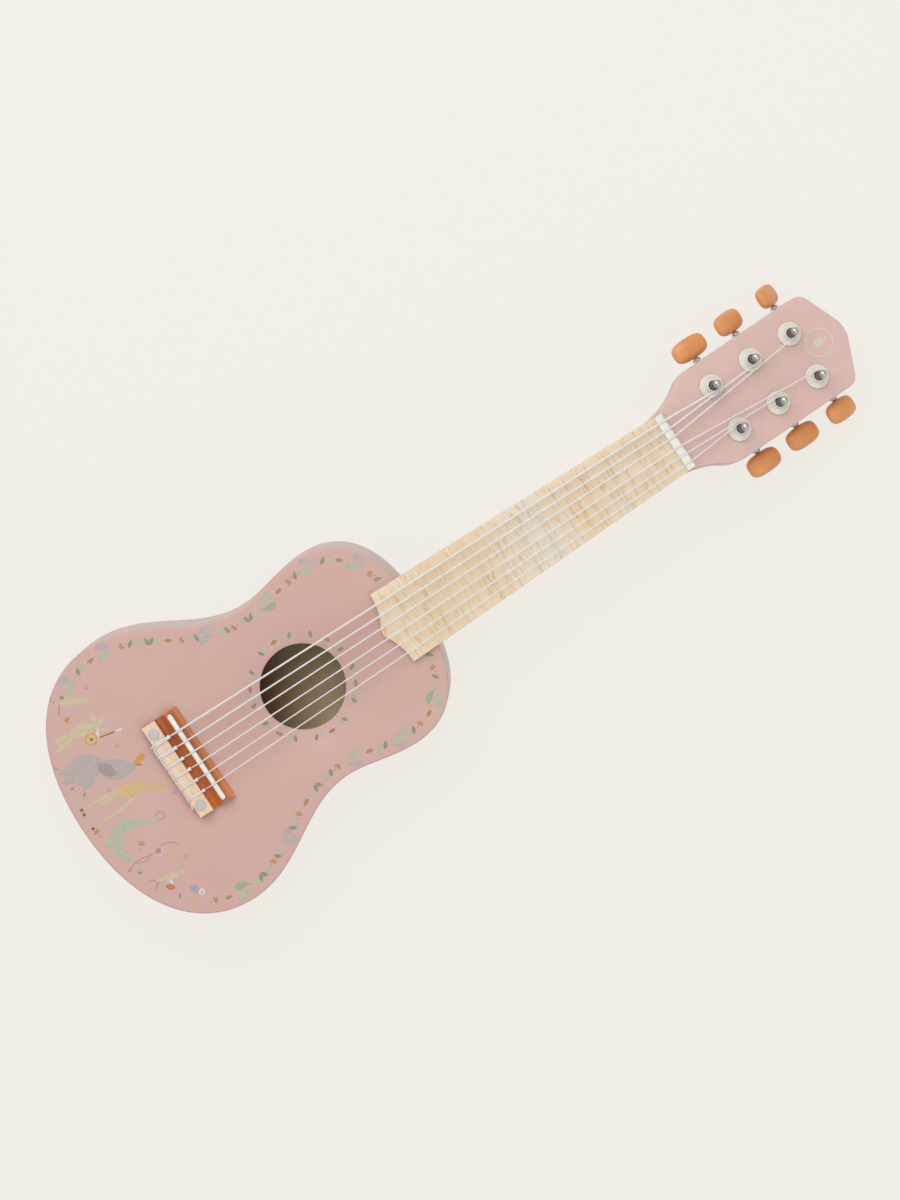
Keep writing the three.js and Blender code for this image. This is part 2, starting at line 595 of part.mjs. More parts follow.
function addBridge() {
  const rear = BRIDGE_REAR_X;
  const stripFront = rear + TIE_STRIP_LENGTH;
  const saddleRear = rear + SADDLE_X - SADDLE_THICKNESS / 2;
  const lip = rear + SADDLE_X + SADDLE_THICKNESS / 2;
  const front = rear + BRIDGE_LENGTH;
  const profile = new THREE.Shape();
  profile.moveTo(rear, bodyTop);
  profile.lineTo(front, bodyTop);
  profile.quadraticCurveTo(front, bodyTop + BRIDGE_HEIGHT, lip + BRIDGE_LAND, bodyTop + BRIDGE_HEIGHT);
  profile.lineTo(saddleRear - BRIDGE_LAND, bodyTop + BRIDGE_HEIGHT);
  profile.quadraticCurveTo(
    saddleRear - BRIDGE_LAND - BRIDGE_CHANNEL_BEND, bodyTop + BRIDGE_CHANNEL_HEIGHT,
    stripFront, bodyTop + BRIDGE_CHANNEL_HEIGHT,
  );
  profile.lineTo(stripFront, bodyTop + BRIDGE_REAR_HEIGHT);
  profile.lineTo(rear, bodyTop + BRIDGE_REAR_HEIGHT);

  const slotTop = bodyTop + BRIDGE_HEIGHT + CUT_RUNOUT;
  const slot = raise(saddleShape(GLUE_GAP), bodyTop + SADDLE_SLOT_FLOOR, slotTop);
  const holeRadius = TIE_HOLE_DIAMETER / 2;
  const holeLength = TIE_STRIP_LENGTH + 2 * TIE_HOLE_RUNOUT;
  const tieHoles = STRING_DIAMETERS.map((_, index) => {
    const hole = new THREE.CylinderGeometry(holeRadius, holeRadius, holeLength, STRING_SIDES);
    hole.rotateZ(Math.PI / 2);
    return hole.translate(rear + TIE_STRIP_LENGTH / 2, stringSaddleY(index), bodyTop + TIE_HOLE_Z);
  });
  place('bridge', cut(widen(profile, BRIDGE_WIDTH), slot, ...tieHoles), bridgeWood);

  const stripBottom = bodyTop + BRIDGE_REAR_HEIGHT;
  const stripTop = stripBottom + TIE_STRIP_THICKNESS;
  const halfWidth = BRIDGE_WIDTH / 2;
  place('tie_strip', box(rear, stripFront, -halfWidth, halfWidth, stripBottom, stripTop), stripWood);
  place('saddle', raise(saddleShape(0), bodyTop + SADDLE_SLOT_FLOOR, saddleTop), ivoryPlastic);

  for (const [name, side] of [['bridge_dot_bass', 1], ['bridge_dot_treble', -1]]) {
    const dot = upright(DOT_DIAMETER / 2, stripTop, stripTop + DOT_HEIGHT, ROUND_SIDES);
    place(name, dot.translate(rear + DOT_X, side * (halfWidth - DOT_END_INSET), 0), dotPlastic);
  }
}

// ---------------------------------------------------------------- tuners

function addRosettes() {
  const inner = postHoleRadius;
  const sleeve = ROSETTE_SLEEVE_DIAMETER / 2;
  const outer = ROSETTE_DIAMETER / 2;
  const profile = [
    [inner, -ROSETTE_SLEEVE_DEPTH],
    [sleeve, -ROSETTE_SLEEVE_DEPTH],
    [sleeve, GLUE_GAP],
    [outer, GLUE_GAP],
    [outer, ROSETTE_HEIGHT * ROSETTE_RIM_HEIGHT],
    [outer - ROSETTE_RIM_ROUNDING, ROSETTE_HEIGHT * ROSETTE_BROW_HEIGHT],
    [inner, ROSETTE_HEIGHT],
    [inner, -ROSETTE_SLEEVE_DEPTH],
  ];
  eachPost((x, side, label) => {
    const rosette = place(`rosette_${label}`, turned(profile, SMALL_ROUND_SIDES), ivoryPlastic, head);
    rosette.position.set(x, side * POST_ROW_Y, 0);
  });
}

// Posts are numbered from the nut to the tip, along the +Y row first
function eachPost(make) {
  for (const side of [1, -1]) {
    const row = side > 0 ? 'bass' : 'treble';
    postPlaces.forEach((x, index) => make(x, side, `${row}_${index + 1}`, index));
  }
}

function addTunerPlates() {
  const earHalf = shaftHoleRadius + EAR_MARGIN;
  const rearX = postPlaces[0] - TUNER_PLATE_END;
  const frontX = postPlaces[POSTS_PER_SIDE - 1] + wormOffsetX + TUNER_PLATE_END;
  const half = TUNER_PLATE_WIDTH / 2;
  for (const [name, side] of [['tuner_plate_bass', 1], ['tuner_plate_treble', -1]]) {
    const rowY = side * POST_ROW_Y;
    const ears = [];
    const holes = [];
    for (const x of postPlaces) {
      const shaftX = x + wormOffsetX;
      for (const end of [1, -1]) {
        const nearY = rowY + end * earInnerY;
        const farY = nearY + end * PLATE_METAL;
        const lowY = Math.min(nearY, farY);
        const highY = Math.max(nearY, farY);
        const bottom = wormAxisZ - earHalf;
        const top = headPlateBottom + PLATE_METAL / 2;
        ears.push(box(shaftX - earHalf, shaftX + earHalf, lowY, highY, bottom, top));
      }
      const reach = 2 * (earInnerY + 2 * PLATE_METAL);
      const radius = shaftHoleRadius;
      const shaftHole = new THREE.CylinderGeometry(radius, radius, reach, SMALL_ROUND_SIDES);
      holes.push(shaftHole.translate(shaftX, rowY, wormAxisZ));
      const postHole = upright(postHoleRadius, headPlateBottom - CUT_RUNOUT, headPlateTop + CUT_RUNOUT);
      holes.push(postHole.translate(x, rowY, 0));
    }
    const sheet = box(rearX, frontX, rowY - half, rowY + half, headPlateBottom, headPlateTop);
    place(name, cut(join(sheet, ...ears), ...holes), steel, head);
  }
}

// A gear with wave-shaped teeth, twisted to lie along the worm's thread
function gearWheel(middleZ) {
  const samples = GEAR_TEETH * TOOTH_STEPS;
  const points = Array.from({ length: samples }, (_, i) => {
    const angle = 2 * Math.PI * i / samples;
    const radius = GEAR_PITCH_RADIUS + TOOTH_SWING * Math.cos(GEAR_TEETH * angle);
    return new THREE.Vector2(radius * Math.cos(angle), radius * Math.sin(angle));
  });
  const wheel = raise(new THREE.Shape(points), middleZ - GEAR_FACE / 2, middleZ + GEAR_FACE / 2);
  const lead = threadPitch / (2 * Math.PI * WORM_PITCH_RADIUS);
  const axis = new THREE.Vector3(0, 0, 1);
  return moveVertices(wheel, (point) => {
    const turn = lead * (point.z - middleZ) / GEAR_PITCH_RADIUS;
    point.applyAxisAngle(axis, turn);
  });
}

function addPosts() {
  const radius = POST_DIAMETER / 2;
  const neck = radius - POST_NECK_INSET;
  const bottom = wormAxisZ - GEAR_FACE / 2 - POST_FOOT_LENGTH;
  const top = POST_HEIGHT;
  const profile = [
    [0, bottom],
    [radius, bottom],
    [radius, top - POST_NECK_BOTTOM],
    [neck, top - POST_NECK_BOTTOM + POST_NECK_INSET],
    [neck, top - POST_NECK_TOP - POST_NECK_INSET],
    [radius, top - POST_NECK_TOP],
    [radius, top - POST_DOME_HEIGHT],
    [radius * POST_DOME_WIDTH, top - POST_DOME_HEIGHT / 4],
    [0, top],
  ];
  eachPost((x, side, label) => {
    const shape = join(turned(profile, SMALL_ROUND_SIDES), gearWheel(wormAxisZ));
    const post = place(`post_${label}`, shape, steel, head);
    post.position.set(x, side * POST_ROW_Y, 0);
  });
}

// The worm and its shaft lie along Y; the thread is right-handed on both sides of the headstock, and one of its
// gaps faces the gear's tooth at rest
function wormShaft(side) {
  const shaft = WORM_SHAFT_DIAMETER / 2;
  const innerEnd = -(earInnerY + PLATE_METAL + WORM_END_LENGTH);
  const collarStart = HEAD_WIDTH / 2 - POST_ROW_Y + GLUE_GAP;
  const outerEnd = knobInnerY - POST_ROW_Y + KNOB_BORE_DEPTH - KNOB_SHAFT_END_GAP;
  const rows = Math.round(WORM_TURNS * THREAD_STEPS);
  const thread = Array.from({ length: rows + 1 }, (_, i) => {
    const share = i / rows;
    return [WORM_PITCH_RADIUS, wormHalfLength * (2 * share - 1)];
  });
  const profile = [
    [0, innerEnd],
    [shaft, innerEnd],
    [shaft, -wormHalfLength],
    ...thread,
    [shaft, wormHalfLength],
    [shaft, collarStart],
    [COLLAR_DIAMETER / 2, collarStart],
    [COLLAR_DIAMETER / 2, collarStart + COLLAR_LENGTH],
    [shaft, collarStart + COLLAR_LENGTH],
    [shaft, outerEnd],
    [0, outerEnd],
  ].map(([radius, along]) => [radius, side * along]);
  const geometry = turned(side > 0 ? profile : profile.reverse(), WINDING_STEPS);
  moveVertices(geometry, (point) => {
    const radius = Math.hypot(point.x, point.y);
    if (Math.abs(radius - WORM_PITCH_RADIUS) < TOLERANCE) {
      const angle = Math.atan2(point.y, point.x);
      const phase = 2 * Math.PI * point.z / threadPitch - angle - 1.5 * Math.PI;
      const scale = (radius + TOOTH_SWING * Math.cos(phase)) / radius;
      point.x *= scale;
      point.y *= scale;
    }
  });
  const axes = new THREE.Matrix4().makeBasis(
    new THREE.Vector3(0, 0, 1),
    new THREE.Vector3(1, 0, 0),
    new THREE.Vector3(0, 1, 0),
  );
  return geometry.applyMatrix4(axes);
}

function knobShape() {
  const x = KNOB_LENGTH / 2 - KNOB_BEVEL;
  const y = KNOB_WIDTH / 2 - KNOB_BEVEL;
  const corner = Math.min(KNOB_CORNER, x, y);
  const shape = new THREE.Shape();
  shape.moveTo(-x + corner, -y);
  shape.lineTo(x - corner, -y);
  shape.quadraticCurveTo(x, -y, x, -y + corner);
  shape.lineTo(x, y - corner);
  shape.quadraticCurveTo(x, y, x - corner, y);
  shape.lineTo(-x + corner, y);
  shape.quadraticCurveTo(-x, y, -x, y - corner);
  shape.lineTo(-x, -y + corner);
  shape.quadraticCurveTo(-x, -y, -x + corner, -y);
  return shape;
}

function addWormsAndKnobs() {
  const depth = KNOB_THICKNESS - 2 * KNOB_BEVEL;
  eachPost((x, side, label, index) => {
    const shaftX = x + wormOffsetX;
    const worm = place(`worm_${label}`, wormShaft(side), steel, head);
    worm.position.set(shaftX, side * POST_ROW_Y, wormAxisZ);

    const pillow = new THREE.ExtrudeGeometry(knobShape(), {
      depth,
      bevelThickness: KNOB_BEVEL,
      bevelSize: KNOB_BEVEL,
      bevelSegments: 2,
      curveSegments: 3,
    }).translate(0, 0, -depth / 2);
    const boreRadius = WORM_SHAFT_DIAMETER / 2 + GLUE_GAP;
    const reach = 2 * KNOB_BORE_DEPTH;
    const bore = new THREE.CylinderGeometry(boreRadius, boreRadius, reach, SMALL_ROUND_SIDES / 2);
    bore.translate(0, -side * KNOB_WIDTH / 2, 0);
    const knob = place(`knob_${label}`, cut(pillow, bore), caramelPlastic, head);
    knob.position.set(shaftX, side * (knobInnerY + KNOB_WIDTH / 2), wormAxisZ);
    knob.rotation.y = THREE.MathUtils.degToRad(KNOB_REST_TURNS[side > 0 ? 0 : 1][index]);
  });
}

// ---------------------------------------------------------------- strings

// A route through given points, with one step of the tube for each
class PointRoute extends THREE.Curve {
  constructor(points) {
    super();
    this.points = points;
  }

  getPointAt(share, target = new THREE.Vector3()) {
    return target.copy(this.points[Math.round(share * (this.points.length - 1))]);
  }

  getTangentAt(share, target = new THREE.Vector3()) {
    const last = this.points.length - 1;
    const i = Math.round(share * last);
    const here = this.points[i];
    target.set(0, 0, 0);
    if (i > 0) {
      target.add(here.clone().sub(this.points[i - 1]).normalize());
    }
    if (i < last) {
      target.add(this.points[i + 1].clone().sub(here).normalize());
    }
    return target.normalize();
  }
}

// From the tied end, over the strip, back through the bridge and up to the saddle, along the neck to the nut,
// then round its post
function stringRoute(index) {
  const radius = STRING_DIAMETERS[index] / 2;
  const y = stringSaddleY(index);
  const nutY = STRING_NUT_Y[index];
  const side = Math.sign(nutY);
  const beside = TIE_SIDE_STEP;
  const [midSide, rearSide, downSide, lowSide] = TIE_SIDE_SHARES.map((share) => share * TIE_SIDE_STEP);
  const front = TIE_STRIP_LENGTH + TIE_CORNER_REACH;
  const behind = -radius - TIE_BACK_REACH;
  const raised = TIE_CORNER_DROP / 2;
  const stripTop = BRIDGE_REAR_HEIGHT + TIE_STRIP_THICKNESS;
  const overStrip = stripTop + radius + GLUE_GAP;
  const saddleRear = SADDLE_X - SADDLE_THICKNESS / 2;
  const crossing = SADDLE_HEIGHT + radius + STRING_REST_GAP;
  const bridgePoints = [
    [front + radius + TIE_END_REACH, beside, BRIDGE_REAR_HEIGHT + TIE_END_RISE],
    [front + radius, beside, stripTop - TIE_CORNER_DROP],
    [TIE_STRIP_LENGTH, beside, overStrip],
    [TIE_STRIP_LENGTH / 2, midSide, overStrip],
    [raised, rearSide, overStrip],
    [behind, downSide, stripTop + raised],
    [behind, lowSide, TIE_HOLE_Z + raised + TIE_HOLE_DIAMETER / 2],
    [-TIE_BACK_REACH, 0, TIE_HOLE_Z + raised],
    [TIE_CORNER_REACH, 0, TIE_HOLE_Z],
    [front, 0, TIE_HOLE_Z],
    [saddleRear - NUT_ENTRY, 0, crossing],
    [SADDLE_X, 0, crossing],
  ].map(([x, dy, z]) => new THREE.Vector3(BRIDGE_REAR_X + x, y + dy, bodyTop + z));

  const nutZ = nutTop + radius + STRING_REST_GAP;
  const nutPoints = [
    new THREE.Vector3(NUT_REAR_X + NUT_ENTRY, nutY, nutZ),
    new THREE.Vector3(nutFrontX - NUT_EXIT * NUT_LENGTH, nutY, nutZ),
  ];

  const coilRadius = POST_DIAMETER / 2 + RUNNING_GAP + radius;
  const pitch = 2 * radius + 2 * STRING_REST_GAP;
  const lowest = ROSETTE_HEIGHT + radius + GLUE_GAP;
  const steps = Math.round(STRING_WINDINGS * WINDING_STEPS);
  const winding = Array.from({ length: steps + 1 }, (_, i) => {
    const turn = i / WINDING_STEPS;
    const angle = 2 * Math.PI * turn;
    return new THREE.Vector3(
      postPlaces[STRING_POSTS[index]] + coilRadius * Math.sin(angle),
      side * (POST_ROW_Y - coilRadius * Math.cos(angle)),
      lowest + pitch * (STRING_WINDINGS - turn),
    ).applyMatrix4(headFrame);
  });
  return new PointRoute([...bridgePoints, ...nutPoints, ...winding]);
}

function addStrings() {
  STRING_DIAMETERS.forEach((diameter, index) => {
    const section = new THREE.Shape(ring(diameter / 2, STRING_SIDES));
    const route = stringRoute(index);
    const steps = route.points.length - 1;
    place(`string_${index + 1}`, new THREE.ExtrudeGeometry(section, { steps, extrudePath: route }), nylon);
  });
}

addBody();
addNeck();
addFretboard();
addBridge();
addRosettes();
addTunerPlates();
addPosts();
addWormsAndKnobs();
addStrings();

model.position.x = -totalLength / 2;
export default model;
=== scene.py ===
"""A pink six-string toy acoustic guitar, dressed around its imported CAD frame."""

from math import atan2, copysign, cos, degrees, dist, pi, radians, sin, tau

import bmesh
import bpy
from mathutils import Matrix, Vector


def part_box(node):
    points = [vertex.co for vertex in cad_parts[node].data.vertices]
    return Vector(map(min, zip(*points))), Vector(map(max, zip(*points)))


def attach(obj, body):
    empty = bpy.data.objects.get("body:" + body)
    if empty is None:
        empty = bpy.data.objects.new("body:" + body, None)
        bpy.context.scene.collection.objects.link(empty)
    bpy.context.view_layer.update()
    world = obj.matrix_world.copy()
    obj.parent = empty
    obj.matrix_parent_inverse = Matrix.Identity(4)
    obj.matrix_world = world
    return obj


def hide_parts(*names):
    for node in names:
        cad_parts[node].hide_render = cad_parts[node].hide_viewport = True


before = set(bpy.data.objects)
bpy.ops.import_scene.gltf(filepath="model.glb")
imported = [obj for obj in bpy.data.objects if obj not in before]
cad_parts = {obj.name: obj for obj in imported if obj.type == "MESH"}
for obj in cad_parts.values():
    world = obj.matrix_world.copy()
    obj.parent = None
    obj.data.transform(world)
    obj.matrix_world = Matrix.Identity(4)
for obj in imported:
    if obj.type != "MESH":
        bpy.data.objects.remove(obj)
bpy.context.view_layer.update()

# ---------------------------------------------------------------- sizes, in millimetres from the tail

MM = 0.001
ROOT = "guitar"
RAW_NODES = ("neck_block", "tail_block", "soundboard_brace_lower", "soundboard_brace_upper",
             "back_brace")
TAIL_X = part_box("soundboard")[0].x / MM
BODY_LENGTH = (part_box("soundboard")[1].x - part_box("soundboard")[0].x) / MM
BODY_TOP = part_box("soundboard")[1].z / MM
BOARD_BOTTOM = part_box("soundboard")[0].z / MM
BACK_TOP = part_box("back_plate")[1].z / MM
FRETBOARD_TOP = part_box("fretboard")[1].z / MM
NUT_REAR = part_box("nut")[0].x / MM - TAIL_X
NUT_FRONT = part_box("nut")[1].x / MM - TAIL_X
NUT_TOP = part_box("nut")[1].z / MM
SADDLE_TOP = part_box("saddle")[1].z / MM

LOWER_BOUT_X, LOWER_BOUT_HALF = 70.5, 99.8
WAIST_X, WAIST_HALF = 167.3, 65.4
UPPER_BOUT_X, UPPER_BOUT_HALF = 217.5, 72.5
TAIL_HANDLE = 0.64        # the curve handles, as shares of the way they run
LOWER_HANDLES = (0.58, 0.4)
WAIST_HANDLES = (0.375, 0.3)
UPPER_HANDLES = (0.37, 0.58)
NECK_END_HANDLE = 0.73
OUTLINE_STEPS = 44        # per curve
SIDE_THICKNESS = 3
TOP_ROUND = 1.3           # radii of the rounded edges
BACK_ROUND = 1.6
HEAD_ROUND = 1.1
NECK_GAP = 0.3            # between the body and the neck
NECK_REAR_DEPTH = 19
NECK_NUT_DEPTH = 15
HEEL_FOOT_Z = 16
HEEL_REACH = 11           # in front of the body, at its foot
HEEL_FLARE = 22           # further, where it meets the neck
HEEL_HALF = 23
HOLE_X = 175
HOLE_RADIUS = 28.5
HOLE_SIDES = 128

HEAD_TILT = radians(16)
HEAD_THICKNESS = 12
HEAD_LENGTH = 137
HEAD_HALF = 34.8
HEAD_ROOT_HALF = 22.9     # level with the nut's front face
HEAD_FLARE_LENGTH = 32
HEAD_FLARE_SLOPE = 0.26
HEAD_RUN_IN = 12
HEAD_RUN_IN_HALF = 20.9
HEAD_SHOULDER_X = 124
HEAD_SHOULDER_RADIUS = 6
HEAD_TIP_X = 135.1
HEAD_TIP_HALF = 8.9
POST_X = (38.2, 70.4, 102.6)
POST_Y = 16.85
POST_RADIUS = 2.7
POST_HOLE_RADIUS = 4.6
POST_SIDES = 36
POST_SHARP = 50           # degrees past which an edge of a turned part stays sharp
WORM_X = 6.52             # from the post, towards the tip
WORM_Z = -16.17
WORM_RADIUS = 2.1
WORM_HALF_LENGTH = 3.757
GEAR_RADIUS = 4.1
GEAR_TEETH = 12
TOOTH_WAVE = 0.42 * 0.94  # a little below the pitch wave, for play
SHAFT_RADIUS = 1.5
COLLAR_STEPS = (           # (radius, distance) from where the shaft leaves the headstock
    (2.9, 0), (3.25, 0.2), (3.25, 0.9), (2.6, 1.05), (2.6, 1.25), (2.9, 1.35), (2.9, 1.75),
    (2.2, 1.8), (1.7, 2.1), (1.7, 11.4), (0.01, 11.4),
)
KNOB_SIZE = (25, 14.7, 9.5)
KNOB_GAP = 2.8
PLATE_GAP = 0.3           # between the headstock's back and the tuner plates
PLATE_METAL = 1
KNOB_TURNS = {"bass": (0, 30, 50), "treble": (5, 12, 25)}
ROWS = (("bass", 1), ("treble", -1))

NUT_HALF = 20.6
TIE_HOLE_RADIUS = 1
TIE_HOLE_Z = BODY_TOP + 2.7
SADDLE_REACH = 31.75      # to the centres of its round ends
SADDLE_HALF = 1.75
SADDLE_SLOT_HALF = 2.05
BRIDGE_REAR = 70.9
BRIDGE_FRONT = 97.7
BRIDGE_HALF_WIDTH = 35.3
STRIP_LENGTH = 10.1
STRIP_BOTTOM = BODY_TOP + 4.4
STRIP_TOP = STRIP_BOTTOM + 1.8
SADDLE_X = BRIDGE_REAR + 20.2

BEVEL_ANGLE = 30          # degrees past which a rim is bevelled

STRING_DIAMETERS = (1.3, 1.15, 1.0, 0.95, 0.85, 0.8)
STRING_NUT_Y = (15.8, 9.5, 3.5, -3.9, -10.1, -16.1)
STRING_PITCH = 8.42
STRING_POSTS = (0, 1, 2, 2, 1, 0)
STRING_WINDINGS = 2
COIL_GAP = 0.35           # between the windings and the post
ROSETTE_TOP = 2.6         # above the headstock

FRETBOARD_CORNER_X = 245.6
FRETBOARD_TIP = 7.2       # the bracket-shaped end reaches this far past its corners
FRETBOARD_REAR_WIDTH = 52.7
FRETBOARD_NUT_WIDTH = 41.7
FRET_HALF = 0.62
FRET_RISE = 0.84
FRET_COUNT = 12

CAMERA_AT = (482.6, 156.7, 3314.3)
CAMERA_RIGHT = Vector((0.8341, -0.5512, -0.0225))
CAMERA_UP = Vector((0.5484, 0.8329, -0.0745))
# the level direction across the sound hole along which the raw wood's painted shade fades
PAINTED_SHADE_TURN = radians(33.4)
LIGHT_SHARE = 0.87        # paint colour over the colour seen
CAMERA_LENS = 198.04      # millimetres, on a 36 millimetre sensor


def place(x, y, z):
    """A point given in millimetres from the tail, in the row frame."""
    return Vector(((x + TAIL_X) * MM, y * MM, z * MM))


def head_place(x, y, z):
    """A point of the tilted headstock: x from the nut, z out of its front face."""
    level_share, rise_share = cos(HEAD_TILT), sin(HEAD_TILT)
    return place(NUT_FRONT + x * level_share + z * rise_share, y,
                 BODY_TOP - x * rise_share + z * level_share)


# ---------------------------------------------------------------- camera, floor and light

def srgb(red, green, blue):
    """A colour given in 0 to 255 steps, as linear light."""
    def linear(value):
        share = value / 255
        return share / 12.92 if share <= 0.04045 else ((share + 0.055) / 1.055) ** 2.4
    return (linear(red), linear(green), linear(blue), 1.0)


def seen(red, green, blue):
    """The paint that looks like this colour under the studio light."""
    return tuple(LIGHT_SHARE * value for value in srgb(red, green, blue)[:3]) + (1.0,)


def shown(name, data):
    """A new object in the scene."""
    made = bpy.data.objects.new(name, data)
    bpy.context.scene.collection.objects.link(made)
    return made


def add_camera():
    data = bpy.data.cameras.new("camera")
    camera = shown("camera", data)
    right = CAMERA_RIGHT.normalized()
    back = right.cross(CAMERA_UP).normalized()
    rotation = Matrix((right, back.cross(right), back)).transposed().to_4x4()
    camera.matrix_world = Matrix.Translation(place(*CAMERA_AT)) @ rotation
    data.sensor_fit = "HORIZONTAL"
    data.sensor_width = 36
    data.lens = CAMERA_LENS
    data.clip_end = 50
    bpy.context.scene.camera = camera


def add_floor():
    mesh = bpy.data.meshes.new("floor")
    reach = 8
    corners = [(-reach, -reach, 0), (reach, -reach, 0), (reach, reach, 0), (-reach, reach, 0)]
    mesh.from_pydata(corners, [], [(0, 1, 2, 3)])
    floor = shown("floor", mesh)
    floor.location.z = -0.0004
    paint = Paint("floor", srgb(243, 239, 233), 0.9)
    fill(paint.shader, Base_Color=srgb(84, 83, 81), Specular_IOR_Level=0,
         Emission_Color=srgb(243, 239, 233), Emission_Strength=0.885)
    floor.data.materials.append(paint.material)


def add_light(name, place_at, energy, size, colour):
    data = bpy.data.lights.new(name, "AREA")
    data.energy = energy
    data.shape = "DISK"
    data.size = size
    data.color = colour
    light = shown(name, data)
    light.location = place_at
    light.rotation_euler = (-Vector(place_at)).to_track_quat("-Z", "Y").to_euler()


def add_lights():
    add_light("key_light", (0.2, 1.6, 2.3), 44, 2.8, (1.0, 0.985, 0.965))
    add_light("fill_light", (0.6, -1.6, 2.3), 13, 2.6, (0.96, 0.98, 1.0))
    world = bpy.data.worlds.new("studio")
    bpy.context.scene.world = world
    world.use_nodes = True
    fill(world.node_tree.nodes["Background"], Color=(1.0, 0.99, 0.975, 1), Strength=0.6)
    bpy.context.scene.view_settings.view_transform = "Standard"


# ---------------------------------------------------------------- materials

def fill(node, **values):
    """Sets a node's inputs; an underscore stands for a space."""
    for key, value in values.items():
        node.inputs[key.replace("_", " ")].default_value = value


class Paint:
    """A principled material and the few node patterns that this object needs."""

    def __init__(self, name, colour, roughness, metallic=0.0, coat=0.0):
        self.material = bpy.data.materials.new(name)
        self.material.use_nodes = True
        self.nodes = self.material.node_tree.nodes
        self.links = self.material.node_tree.links
        self.shader = self.nodes["Principled BSDF"]
        fill(self.shader, Base_Color=colour, Roughness=roughness, Metallic=metallic, Coat_Weight=coat,
             Coat_Roughness=0.25)
        self.material.diffuse_color = colour

    def node(self, kind, **values):
        made = self.nodes.new(kind)
        for key, value in values.items():
            setattr(made, key, value)
        return made

    def coordinates(self, scale, turn=(0, 0, 0), offset=(0, 0, 0)):
        """Object coordinates, stretched, turned and moved."""
        source = self.node("ShaderNodeTexCoord")
        mapping = self.node("ShaderNodeMapping")
        fill(mapping, Location=offset, Scale=scale, Rotation=turn)
        self.links.new(source.outputs["Object"], mapping.inputs["Vector"])
        return mapping.outputs["Vector"]

    def noise(self, scale, stretch=(1, 1, 1), detail=3, roughness=0.55, distortion=0.0, turn=(0, 0, 0)):
        made = self.node("ShaderNodeTexNoise")
        fill(made, Scale=scale, Detail=detail, Roughness=roughness, Distortion=distortion)
        self.links.new(self.coordinates(stretch, turn), made.inputs["Vector"])
        return made.outputs["Fac"]

    def slope(self, start, end, turn):
        """0 at one distance and 1 at another, in metres along a level direction turned from X."""
        made = self.node("ShaderNodeTexGradient")
        share = 1 / (end - start)
        vector = self.coordinates((share, share, share), (0, 0, turn), (-start * share, 0, 0))
        self.links.new(vector, made.inputs["Vector"])
        return made.outputs["Color"]

    def ramp(self, factor, stops):
        """Colours or grey levels along a factor, as (place, colour) pairs."""
        made = self.node("ShaderNodeValToRGB")
        elements = made.color_ramp.elements
        while len(elements) < len(stops):
            elements.new(0.5)
        for element, (at, colour) in zip(elements, stops):
            element.position = at
            element.color = colour if len(colour) == 4 else (*colour, 1)
        self.links.new(factor, made.inputs["Fac"])
        return made.outputs["Color"]

    def levels(self, factor, low, high):
        """0 below low, 1 above high."""
        return self.ramp(factor, [(low, (0, 0, 0)), (high, (1, 1, 1))])

    def mix(self, factor, first, second):
        """Mixes two colours, each a socket or a value."""
        made = self.node("ShaderNodeMix", data_type="RGBA")
        self.links.new(factor, made.inputs["Factor"])
        for socket, value in ((made.inputs[6], first), (made.inputs[7], second)):
            if isinstance(value, tuple):
                socket.default_value = value
            else:
                self.links.new(value, socket)
        return made.outputs[2]

    def scaled(self, factor, amount):
        made = self.node("ShaderNodeMath", operation="MULTIPLY")
        self.links.new(factor, made.inputs[0])
        made.inputs[1].default_value = amount
        return made.outputs[0]

    def colour(self, socket):
        self.links.new(socket, self.shader.inputs["Base Color"])
        return self

    def rough(self, factor, low, high):
        made = self.node("ShaderNodeMapRange")
        fill(made, To_Min=low, To_Max=high)
        self.links.new(factor, made.inputs["Value"])
        self.links.new(made.outputs["Result"], self.shader.inputs["Roughness"])
        return self

    def bump(self, height, distance, strength=1.0):
        made = self.node("ShaderNodeBump")
        fill(made, Strength=strength, Distance=distance)
        self.links.new(height, made.inputs["Height"])
        self.links.new(made.outputs["Normal"], self.shader.inputs["Normal"])
        return self


def lacquer_paint(name, colour, shade):
    """Satin lacquer: a faint cloud of tone, fine orange peel and the grain just showing."""
    paint = Paint(name, colour, 0.5, coat=0.12)
    fill(paint.shader, Coat_Roughness=0.35, Specular_IOR_Level=0.35)
    clouds = paint.noise(22, detail=4)
    grain = paint.noise(90, stretch=(0.12, 1, 1), detail=4)
    tone = paint.mix(paint.levels(clouds, 0.3, 0.7), shade, colour)
    paint.colour(paint.mix(paint.scaled(grain, 0.12), tone, shade))
    paint.rough(paint.noise(300, detail=2), 0.42, 0.56)
    paint.bump(paint.noise(1400, detail=2), 0.00002, 0.35)
    return paint.material


